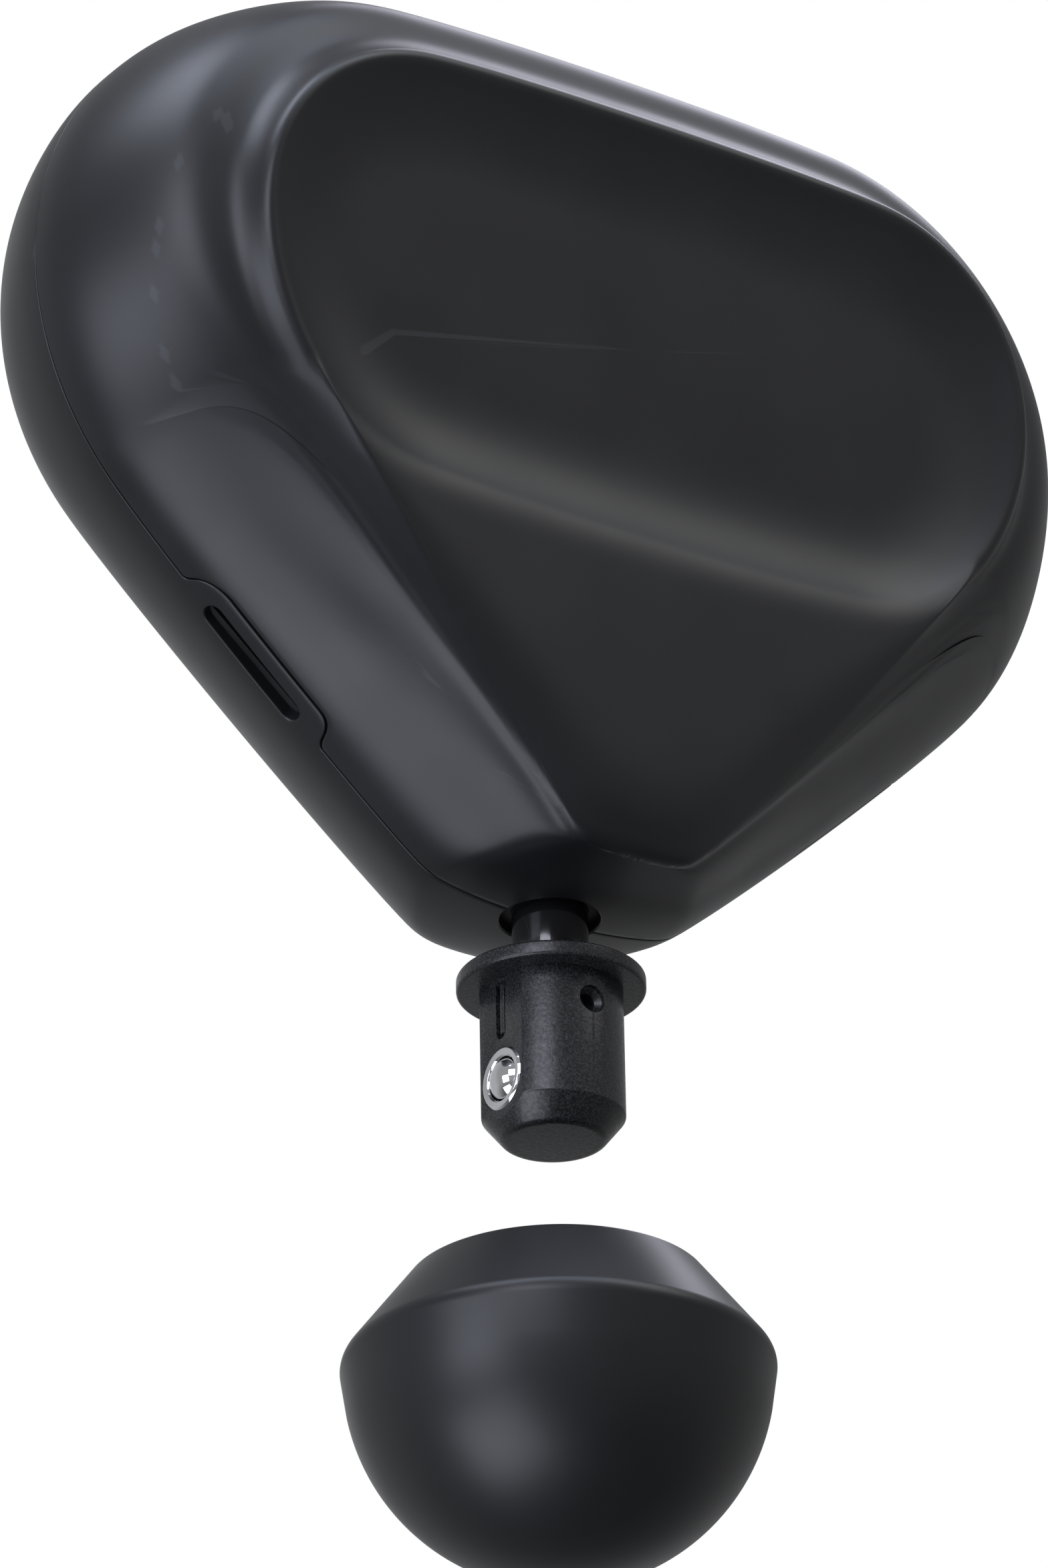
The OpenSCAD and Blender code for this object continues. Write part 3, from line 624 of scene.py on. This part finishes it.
def blurred(lines):
    """The depth of the casing's front, averaged over a reach of EASE, on a grid of EASE_STEP squares."""
    place = np.round((lines[..., [0, 2]].reshape(-1, 2) - EASE_CORNER) / EASE_STEP).astype(int)
    cell = place[:, 0] * EASE_CELLS + place[:, 1]
    count = np.bincount(cell, minlength=EASE_CELLS ** 2).reshape(EASE_CELLS, EASE_CELLS)
    total = np.bincount(cell, lines[..., 1].ravel(), EASE_CELLS ** 2).reshape(EASE_CELLS, EASE_CELLS)
    known = (count > 0) * 1.0
    depth = total / np.maximum(count, 1)
    reach = np.arange(EASE_CELLS) * EASE_STEP
    kernel = np.exp(-0.5 * ((reach[:, None] - reach[None]) / EASE) ** 2)
    return (kernel @ (depth * known) @ kernel) / (kernel @ known @ kernel + 1e-9)


def sampled(field, points):
    """Values of the grid at points, blended between its squares."""
    place = np.clip((points[..., [0, 2]] - EASE_CORNER) / EASE_STEP, 0, EASE_CELLS - 1.001)
    i, j = place[..., 0].astype(int), place[..., 1].astype(int)
    u, v = place[..., 0] - i, place[..., 1] - j
    return ((field[i, j] * (1 - v) + field[i, j + 1] * v) * (1 - u)
            + (field[i + 1, j] * (1 - v) + field[i + 1, j + 1] * v) * u)


def front_lines(angles, inset=0.0):
    """The front's section curves, with the facet's edges rounded."""
    lines = sharp_front(angles, inset)
    outer = sharp_front(angles) if inset else lines
    target = sampled(blurred(outer), lines) + inset * INNER_EASE
    share = (1 - nearness(-lines[..., 1] - inset, *EASE_Y)) * nearness(lines[..., 2], *EASE_H)
    if inset:
        target = np.maximum(target, lines[..., 1])
    else:
        share = share * (1 - nearness(np.linalg.norm(lines - lines[-1], axis=2), *EASE_RIM))
    lines[..., 1] += share * EASE_MOST * np.tanh((target - lines[..., 1]) / EASE_MOST)
    return settle(lines, NOSE_WALL if inset else 0)


def rear_lines(angles, inset=0.0):
    """Section curves from the parting line to the flat of the back, which they meet without a crease."""
    parting = outline(PARTING, inset, angles)
    flat = at_y(outline(BACK_FLAT, 0, angles), BACK_Y - inset)
    middle = flat.mean(0)
    controls = [at_y(parting, 0), at_y(parting, PARTING_BACK_Y),
                at_y(outline(HAUNCH, inset, angles), HAUNCH_Y - inset),
                at_y(outline(BACK_EDGE, inset, angles), BACK_EDGE_Y - inset),
                flat, middle + (flat - middle) * BACK_MIDDLE]
    return settle(spline(controls), NOSE_WALL if inset else 0)


def side_distance(points):
    """Distance down along the straight side from its middle, for (x, h) points on the right."""
    return -(points[:, 0] - SIDE[0]) * math.cos(SIDE_TILT) - (points[:, 1] - SIDE[1]) * math.sin(SIDE_TILT)


def tab_edge(grow=0.0, join=math.radians(68), foot=1.1):
    """Half outline of the tab, as distances along the side and depths before the parting line. Its round
    end runs on into a hollow curve at the angle join, and that curve spreads by foot."""
    radius = TAB_W / 2 + grow
    flat = (TAB_L - TAB_W) / 2
    turn = np.linspace(0, join, 8)
    distance = list(flat + radius * np.sin(turn))
    depth = list(radius * np.cos(turn))
    start, drop = distance[-1], depth[-1]
    for q in np.linspace(0.2, 1, 5):
        distance.append((1 - q) ** 2 * start + 2 * q * (1 - q) * (start + drop / math.tan(join))
                        + q * q * (start + foot))
        depth.append((1 - q) ** 2 * drop)
    return np.array(distance), np.array(depth)


def column_angles(spacing=0.8):
    """Outward directions of the casing's columns: even steps, and the corners of the tabs."""
    fine = np.radians(np.arange(-90, 90.005, 0.01))
    parting = outline(PARTING, 0, fine)
    mean = (parting + outline(RIM, 0, fine)) / 2
    run = np.concatenate([[0], np.cumsum(np.linalg.norm(np.diff(mean, axis=0), axis=1))])
    count = round(run[-1] / spacing)
    even = np.interp(np.linspace(0, run[-1], count + 1), run, fine)
    low = fine < 0
    side = side_distance(parting)
    reach = tab_edge()[0]
    along = np.concatenate([np.arange(0.4, reach[0], spacing), reach])
    wanted = np.sort(np.concatenate([-along, along]))
    tabs = np.interp(-wanted, -side[low], fine[low])
    clear = np.abs(np.interp(even, fine, side)) > reach[-1] + spacing / 2
    half = np.sort(np.concatenate([even[clear | (even > 0)], tabs]))
    return np.concatenate([half, math.pi - half[-2:0:-1]])


def walk(lines, edge_y, rows):
    """Rows of points along each line, from where it crosses edge_y to its end, evenly by length."""
    run = np.concatenate([np.zeros((1, lines.shape[1])),
                          np.cumsum(np.linalg.norm(np.diff(lines, axis=0), axis=2), axis=0)])
    forward = 1 if lines[-1, 0, 1] > lines[0, 0, 1] else -1
    out = np.empty((rows, lines.shape[1], 3))
    for j in range(lines.shape[1]):
        start = np.interp(forward * edge_y[j], forward * lines[:, j, 1], run[:, j])
        at = np.linspace(start, run[-1, j], rows)
        for k in range(3):
            out[:, j, k] = np.interp(at, run[:, j], lines[:, j, k])
    return out


def surface_normals(grid):
    """Unit normals of a grid of rows and columns, pointing away from the stroke axis."""
    down = np.gradient(grid, axis=0)
    along = np.roll(grid, -1, axis=1) - np.roll(grid, 1, axis=1)
    normal = np.cross(along, down)
    normal /= np.linalg.norm(normal, axis=2, keepdims=True)
    middle = np.array([0, 0, GRIP_H])
    return normal * np.sign(((grid - middle) * normal).sum(2).mean())


def edge_rows(grid, radius, steps=4):
    """Rows that round the first row of a grid over and down into the wall, from the inside out."""
    edge = grid[0]
    normal = surface_normals(grid)[0]
    along = np.roll(edge, -1, axis=0) - np.roll(edge, 1, axis=0)
    inward = np.cross(normal, along)
    inward /= np.linalg.norm(inward, axis=1, keepdims=True)
    inward *= np.sign(((grid[1] - edge) * inward).sum(1))[:, None]
    centre = edge + radius * (inward - normal)
    turns = np.linspace(math.pi / 2, 0, steps)
    return np.array([centre + radius * (math.cos(a) * normal - math.sin(a) * inward) for a in turns])


def shrunk(ring, shares):
    """Rings inside a flat one, drawn in towards its middle."""
    middle = ring.mean(0)
    return np.array([middle + (ring - middle) * share for share in shares])


ANGLES = column_angles()
SIDE_AT = side_distance(np.abs(outline(PARTING, 0, ANGLES)))  # the left side is measured as the right
LOW_SIDE = np.sin(ANGLES) < 0
FRONT = front_lines(ANGLES)
REAR = rear_lines(ANGLES)


def seam_y(grow, gap):
    """Where a shell's edge lies on each column: the parting line, moved forward round the tabs."""
    distance, depth = tab_edge(grow)
    tab = np.interp(np.abs(SIDE_AT), distance, depth, right=0)
    return -np.where(LOW_SIDE, tab, 0) - gap


def dish_rows(insets):
    """Rings of the palm dish inside its rim."""
    rows = []
    for inset in insets:
        edge = outline(RIM, inset, ANGLES)
        fall = DISH_DEPTH * (1 - max(0, 1 - inset / DISH_RUN) ** DISH_POWER)
        rows.append(at_y(edge, rim_y(edge[:, 1]) + fall))
    return np.array(rows)


def rim_rows(outer, steps=8):
    """Rounds the rim between the outer surface and the dish. Returns the shortened outer rows too."""
    corner = outer[-1]
    run = np.linalg.norm(outer - corner, axis=2)
    keep = int((run.min(1) > RIM_ROUND).sum())
    start = outer[keep - 1]
    end = dish_rows([RIM_ROUND])[0]
    q = np.linspace(0, 1, steps + 1)[1:, None, None]
    return outer[:keep], (1 - q) ** 2 * start + 2 * q * (1 - q) * corner + q * q * end


def front_stack():
    """Rings of the front shell, from the inner face's middle round its edge to the dish's middle."""
    outer = walk(FRONT, seam_y(SEAM_GAP, SEAM_GAP), FRONT_ROWS)
    edge = edge_rows(outer, SEAM_ROUND)
    outer, rim = rim_rows(outer)
    dish = dish_rows(DISH_RINGS)
    floor = shrunk(dish[-1], [0.9, 0.75, 0.6, 0.45, 0.3, 0.15])
    inner = walk(front_lines(ANGLES, WALL), seam_y(SEAM_GAP, SEAM_GAP), INNER_ROWS)
    cap = shrunk(inner[-1], [0.6, 0.2])
    return np.concatenate([cap[::-1], inner[::-1], edge, outer[1:], rim, dish, floor])


def rear_stack():
    """Rings of the rear shell, from the inner face's middle round its edge to the middle of the back."""
    forward = FRONT[::-1][-TAB_SAMPLES:-1]
    outer = walk(np.concatenate([forward, REAR]), seam_y(0, 0), REAR_ROWS)
    edge = edge_rows(outer, SEAM_ROUND)
    inner_forward = front_lines(ANGLES, WALL)[::-1][-INNER_TAB_SAMPLES:-1]
    inner = walk(np.concatenate([inner_forward, rear_lines(ANGLES, WALL)]), seam_y(0, 0), INNER_ROWS)
    caps = [shrunk(rows[-1], [0.75, 0.5, 0.25, 0.08]) for rows in (inner, outer)]
    return np.concatenate([caps[0][::-1], inner[::-1], edge, outer[1:], caps[1]])


def outer_tree():
    """The whole outer surface, to drape things on."""
    stack = np.concatenate([FRONT[::-4], REAR[4::4], shrunk(REAR[-1], [0.5])])
    vertices, faces = skin(stack)
    return BVHTree.FromPolygons(vertices, faces)


SURFACE = outer_tree()
CLEAR_OUT = 80  # further out than any of the surface


def draped(name, path, origin, axes, steps, sharp=40):
    """Solid whose rings follow the casing's surface. path(grow) gives its outline in the plane of the first
    two axes, the third axis points out, and steps holds (grow, height over the surface) of each ring."""
    across, up, out = (np.array(a, float) for a in axes)
    stack = []
    for grow, height in steps:
        ring = []
        for x, y in path(grow):
            base = np.array(origin) + x * across + y * up
            hit = SURFACE.ray_cast(Vector(base + out * CLEAR_OUT), Vector(-out))[0]
            ring.append(np.array(hit) + out * height)
        stack.append(ring)
    return new_object(name, *skin(np.array(stack)), sharp)


def circle(radius, count=72):
    """A circle's outline."""
    angles = np.linspace(0, 2 * math.pi, count, endpoint=False)
    return lambda grow: [((radius + grow) * math.cos(a), (radius + grow) * math.sin(a)) for a in angles]


def stadium(length, width, count=16):
    """A slot's outline: two half circles, and the straight runs between them in eight steps each."""
    def path(grow):
        half, radius = (length - width) / 2, width / 2 + grow
        points = []
        for sign in (1, -1):
            for k in range(count + 1):
                a = math.pi * (k / count - 0.5)
                points.append((sign * (half + radius * math.cos(a)), sign * radius * math.sin(a)))
            for k in range(1, 8):
                points.append((sign * half * (1 - k / 4), sign * radius))
        return points
    return path


def hole_steps(edge, depth):
    """Steps of a cutter that starts over the surface, rounds the hole's edge and goes down to a depth."""
    turns = [math.radians(a) for a in (15, 35, 55, 72, 90)]
    flare = [(edge * (1 - math.sin(a)), -edge * (1 - math.cos(a))) for a in turns]
    return [(edge * 1.1, 2.0), (flare[0][0] + 0.1 * edge, 0.12 * edge), *flare, (0, -depth)]


DOWN = ((1, 0, 0), (0, 1, 0), (0, 0, -1))
UP = ((1, 0, 0), (0, 1, 0), (0, 0, 1))
BACK = ((1, 0, 0), (0, 0, 1), (0, 1, 0))


def side_axes(side):
    """Down along a straight side, across it and out of it, with side 1 on the right and -1 on the left."""
    down = (-side * math.cos(SIDE_TILT), 0, -math.sin(SIDE_TILT))
    out = (side * math.sin(SIDE_TILT), 0, -math.cos(SIDE_TILT))
    return down, (0, 1, 0), out


def middle_of(node):
    """Middle of a CAD node's box, in millimetres and hole heights."""
    low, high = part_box(node)
    middle = (low + high) / 2 / MM
    return (middle.x, middle.y, middle.z + GRIP_H)


def islands(node):
    """Middles of a CAD node's separate solids, in millimetres and hole heights."""
    work = bmesh.new()
    work.from_mesh(NODES[node].data)
    bmesh.ops.remove_doubles(work, verts=work.verts, dist=1e-6)
    left = set(work.verts)
    middles = []
    while left:
        group, edge = set(), [left.pop()]
        while edge:
            vert = edge.pop()
            group.add(vert)
            near = {e.other_vert(vert) for e in vert.link_edges} & left
            left -= near
            edge += near
        low = [min(v.co[k] for v in group) / MM for k in range(3)]
        high = [max(v.co[k] for v in group) / MM for k in range(3)]
        middles.append(((low[0] + high[0]) / 2, (low[1] + high[1]) / 2, (low[2] + high[2]) / 2 + GRIP_H))
    work.free()
    return sorted(middles)


BUTTON = middle_of("power_button")
LIGHTS = islands("led_lenses")
CAPS = islands("screw_caps")
PORT = middle_of("charge_socket")


def nose_cutter(name):
    """The hole in the nose, half of it in each shell."""
    return draped(name, circle(HOLE_R, 120), (0, 0, 0), DOWN, hole_steps(0.25, 6))


def rear_cutters():
    """The nose hole, the button's, the lights', the caps' and the port's holes, and the side vents."""
    made = [nose_cutter("rear_nose_cut")]
    made.append(draped("button_cut", circle(BUTTON_HOLE_R, 120), BUTTON, BACK, hole_steps(0.35, 6)))
    for i, place in enumerate(LIGHTS):
        made.append(draped(f"light_cut_{i}", circle(LIGHT_HOLE_R, 40), place, BACK, hole_steps(0.15, 6)))
    # An odd count and a depth of their own keep the cap cutters' faces off the shell's, for a clean cut
    for i, place in enumerate(CAPS):
        made.append(draped(f"cap_cut_{i}", circle(CAP_R + CAP_GAP, 61), place, BACK, hole_steps(0.14, 5.3)))
    made.append(draped("port_cut", stadium(*PORT_SIZE), PORT, UP, hole_steps(0.3, 6)))
    for side in (1, -1):
        origin = (side * SIDE[0], 0, SIDE[1])
        made.append(draped(f"vent_cut_{side + 1}", stadium(SLOT_L, SLOT_W), origin, side_axes(side),
                           hole_steps(0.22, 5)))
    return made


def make_casing():
    """Both shells with their holes, and the caps over the screws."""
    front = new_object("shell_front", *skin(front_stack()))
    cut(front, [nose_cutter("front_nose_cut")])
    show(front, "soft_touch", "casing", "front_shell")
    rear = new_object("shell_rear", *skin(rear_stack()))
    cut(rear, rear_cutters())
    show(rear, "soft_touch", "casing", "rear_shell")
    for made in (front, rear):
        shade(made, 38)
        even = made.modifiers.new("even", "WEIGHTED_NORMAL")
        even.keep_sharp = True
        even.weight = 90
        apply_modifiers(made)
    steps = [(-CAP_R + 0.3, -0.05), (-0.9, -0.05), (-0.3, -0.06), (-0.16, -0.09), (-0.06, -0.2),
             (-0.04, -2.0)]
    caps = [draped(f"cap_{i}", circle(CAP_R, 56), place, BACK, steps) for i, place in enumerate(CAPS)]
    show(joined("screw_plugs", caps), "soft_touch", "casing", "screw_caps")


def joined(name, pieces):
    """One object from several."""
    work = bmesh.new()
    for piece in pieces:
        work.from_mesh(piece.data)
    mesh = bpy.data.meshes.new(name)
    work.to_mesh(mesh)
    work.free()
    for piece in pieces:
        bpy.data.objects.remove(piece)
    made = bpy.data.objects.new(name, mesh)
    bpy.context.scene.collection.objects.link(made)
    shade(made)
    return made


make_casing()


# ---- button and lights ----

def make_button():
    """The power button: a round cap with a dished top, on the CAD button's box."""
    low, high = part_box("power_button")
    radius = (high.x - low.x) / 2 / MM
    foot, top = low.y / MM, high.y / MM
    profile = rounded([(0, foot, 0), (1.6, foot, 0), (1.6, foot + 0.2, 0), (radius, foot + 0.2, 0.1),
                       (radius, top - 0.15, 0.55), (radius - 1.3, top, 0.5), (radius - 2.2, top - 0.35, 0.5),
                       (0, top - 0.5, 0)])
    cap = lathe("button_cap", profile, (BUTTON[0], 0, BUTTON[2]), "Y")
    show(cap, "button_plastic", "button", "power_button")


def make_lights():
    """The lights: stepped pipes with domed ends, as long as the CAD lenses."""
    low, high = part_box("led_lenses")
    foot, top = low.y / MM, high.y / MM
    profile = rounded([(0, foot, 0), (1.7, foot, 0.1), (1.7, foot + 1.4, 0.1), (1.15, foot + 1.4, 0),
                       (1.15, top - 0.05, 0.3), (0.6, top, 0.4), (0, top, 0)])
    lights = [lathe(f"light_{i}", profile, (x, 0, h), "Y", 48) for i, (x, _, h) in enumerate(LIGHTS)]
    show(joined("light_pipes", lights), "lens", "casing", "led_lenses")


make_button()
make_lights()


# ---- arbor ----

ARBOR_R = 7.65
FLANGE_R = 10.1
ARBOR_TOP = -6.3
FLANGE_T = 1.7
BARREL_END = -22.5
TIP_END = -25.3
TIP_R = 5.4
FLAT_X = -6.55
GROOVE_W = 1.7
GROOVE_END = -14.0
CROSS_H = -11.55
CROSS_R = 0.95
DETENT_H = -19.4
BALL_R = 2.75
BALL_X = -4.8
SHAFT_R = 4.1
SHAFT_END = -14.5
FLARE_RUN = 6


def box(name, low, high):
    """A block between two corners, for cutting."""
    (a, b, c), (d, e, f) = low, high
    corners = [(x, y, z) for x in (a, d) for y in (b, e) for z in (c, f)]
    faces = [(0, 1, 3, 2), (4, 6, 7, 5), (0, 4, 5, 1), (2, 3, 7, 6), (0, 2, 6, 4), (1, 5, 7, 3)]
    return new_object(name, corners, faces)


def rod(name, radius, start, end, centre, axis, flare=0.0, around=64):
    """A cylinder for cutting. flare widens both of its ends, over FLARE_RUN, and then tapers off."""
    inset = flare * 0.9
    profile = [(0, start), (radius + flare, start)]
    if flare:
        profile += [(radius + flare, start + FLARE_RUN), (radius, start + FLARE_RUN + inset),
                    (radius, end - FLARE_RUN - inset), (radius + flare, end - FLARE_RUN)]
    profile += [(radius + flare, end), (0, end)]
    return lathe(name, profile, centre, axis, around)


def make_arbor():
    """A flange over a barrel, with the barrel's flat, groove, cross hole and seat for the detent cut in."""
    flange_foot = ARBOR_TOP - FLANGE_T
    flange = rounded([(SHAFT_R, ARBOR_TOP, 0), (FLANGE_R, ARBOR_TOP, 0.35), (FLANGE_R, flange_foot, 0.35),
                      (ARBOR_R - 0.8, flange_foot, 0), (ARBOR_R - 0.8, flange_foot - 0.5, 0),
                      (SHAFT_R, flange_foot - 0.5, 0)])
    barrel = rounded([(0, TIP_END, 0), (TIP_R, TIP_END, 1.2), (ARBOR_R, BARREL_END, 0.35),
                      (ARBOR_R, flange_foot + 0.2, 0), (SHAFT_R, flange_foot + 0.2, 0),
                      (SHAFT_R, SHAFT_END, 0), (0, SHAFT_END, 0)])
    body = lathe("arbor_body", barrel, around=192)
    groove_low = GROOVE_END - GROOVE_W / 2
    # The cutters reach well past the barrel
    cutters = [
        box("flat_cut", (FLAT_X - 9, -12, TIP_END - 2), (FLAT_X, 12, flange_foot + 1)),
        box("groove_cut", (FLAT_X - 2, -GROOVE_W / 2, GROOVE_END),
            (FLAT_X + 1, GROOVE_W / 2, flange_foot + 1)),
        rod("groove_foot", GROOVE_W / 2, FLAT_X - 2, FLAT_X + 1, (0, 0, GROOVE_END), "X"),
        rod("cross_cut", CROSS_R, -ARBOR_R - 5.4, ARBOR_R + 5.4, (0, 0, CROSS_H), "Y", 0.6),
        rod("ball_bore", BALL_R + 0.05, FLAT_X - 2, 4, (0, 0, DETENT_H), "X"),
        rod("ring_seat", 3.5, FLAT_X - 2, FLAT_X + 0.5, (0, 0, DETENT_H), "X"),
    ]
    cut(body, cutters)
    soften(body, 0.14)
    tongue = box("groove_tongue", (FLAT_X - 0.02, -0.62, groove_low + 0.55),
                 (FLAT_X + 0.55, 0.1, flange_foot))
    soften(tongue, 0.08)
    pieces = [body, lathe("flange", flange, around=192), tongue]
    show(joined("arbor_body_whole", pieces), "arbor_polymer", "stroker", "arbor")


def make_detent():
    """The detent's lip, which stands out of the flat, and its ball."""
    ring = rounded([(2.86, 0, 0), (3.5, 0, 0.02), (3.5, 0.45, 0.16), (3.22, 0.72, 0.16), (2.62, 0.60, 0.1),
                    (2.42, 0.40, 0.05), (2.86, 0.1, 0)], 5)
    ring = [(r, -z) for r, z in ring]
    lip = lathe("detent_lip", ring, (FLAT_X + 0.5, 0, DETENT_H), "X", 120)
    show(lip, "bright_chrome", "stroker", "detent_ring")
    half = [(BALL_R * math.sin(a), -BALL_R * math.cos(a)) for a in np.linspace(0, math.pi, 49)]
    half[0], half[-1] = (0, -BALL_R), (0, BALL_R)
    ball = lathe("detent_bearing", half, (BALL_X, 0, DETENT_H), "X", 96)
    show(ball, "bright_chrome", "ball", "detent_ball")


make_arbor()
make_detent()


# ---- head ----

HEAD_R = 22.5
HEAD_TOP_R = 15.4
CONE_L = 10.3
CORE_R = 10.6
CORE_FOOT_R = 13.0
FOOT_T = 2.4
SOCKET_R = 7.75


def make_head():
    """A cushion, a short cone over a half ball, round a stiff core with the socket."""
    low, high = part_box("head_dome")
    top, ridge = high.z / MM + GRIP_H, high.z / MM + GRIP_H - CONE_L
    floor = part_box("head_core")[0].z / MM + GRIP_H
    shell = rounded([(CORE_R + 0.04, floor + FOOT_T, 0), (CORE_R + 0.04, top, 0.25), (HEAD_TOP_R, top, 1.1),
                     (HEAD_R + 0.35, ridge + 0.75, 2.3), (HEAD_R * 0.985, ridge - 3.9, 0)], 10)
    bowl = [(HEAD_R * math.cos(a), ridge - HEAD_R * math.sin(a)) for a in np.radians(np.linspace(11, 90, 60))]
    bowl[-1] = (0, bowl[-1][1])
    hollow = [(0, floor), (CORE_FOOT_R + 0.04, floor), (CORE_FOOT_R + 0.04, floor + FOOT_T)]
    profile = hollow + [tuple(p) for p in shell[:-1]] + bowl
    show(lathe("head_cushion", profile, around=224), "head_rubber", "head", "head_dome")
    core = rounded([(0, floor, 0), (CORE_FOOT_R, floor, 0.2), (CORE_FOOT_R, floor + FOOT_T, 0.2),
                    (CORE_R, floor + FOOT_T, 0), (CORE_R, top, 0.25), (SOCKET_R + 0.9, top, 0.2),
                    (SOCKET_R, top - 0.85, 0.3), (SOCKET_R, floor + FOOT_T, 0.4), (0, floor + FOOT_T, 0)])
    show(lathe("head_socket_core", core, around=160), "inner_plastic", "head", "head_core")


make_head()


# ---- inner parts that keep their CAD meshes ----

def finish_cad_nodes():
    """Every CAD node that still shows takes the finish of its material slot."""
    slots = {part["node"]: part["material_slot"] for part in frame["record"]["subparts"]}
    for name, node in NODES.items():
        node.data.materials.clear()
        node.data.materials.append(MATERIALS[slots[name]])


finish_cad_nodes()


def make_spring_give():
    """Gives the detent spring a copy of its mesh, of its own."""
    spring = bpy.data.objects["detent_spring"]
    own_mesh(spring)


make_spring_give()
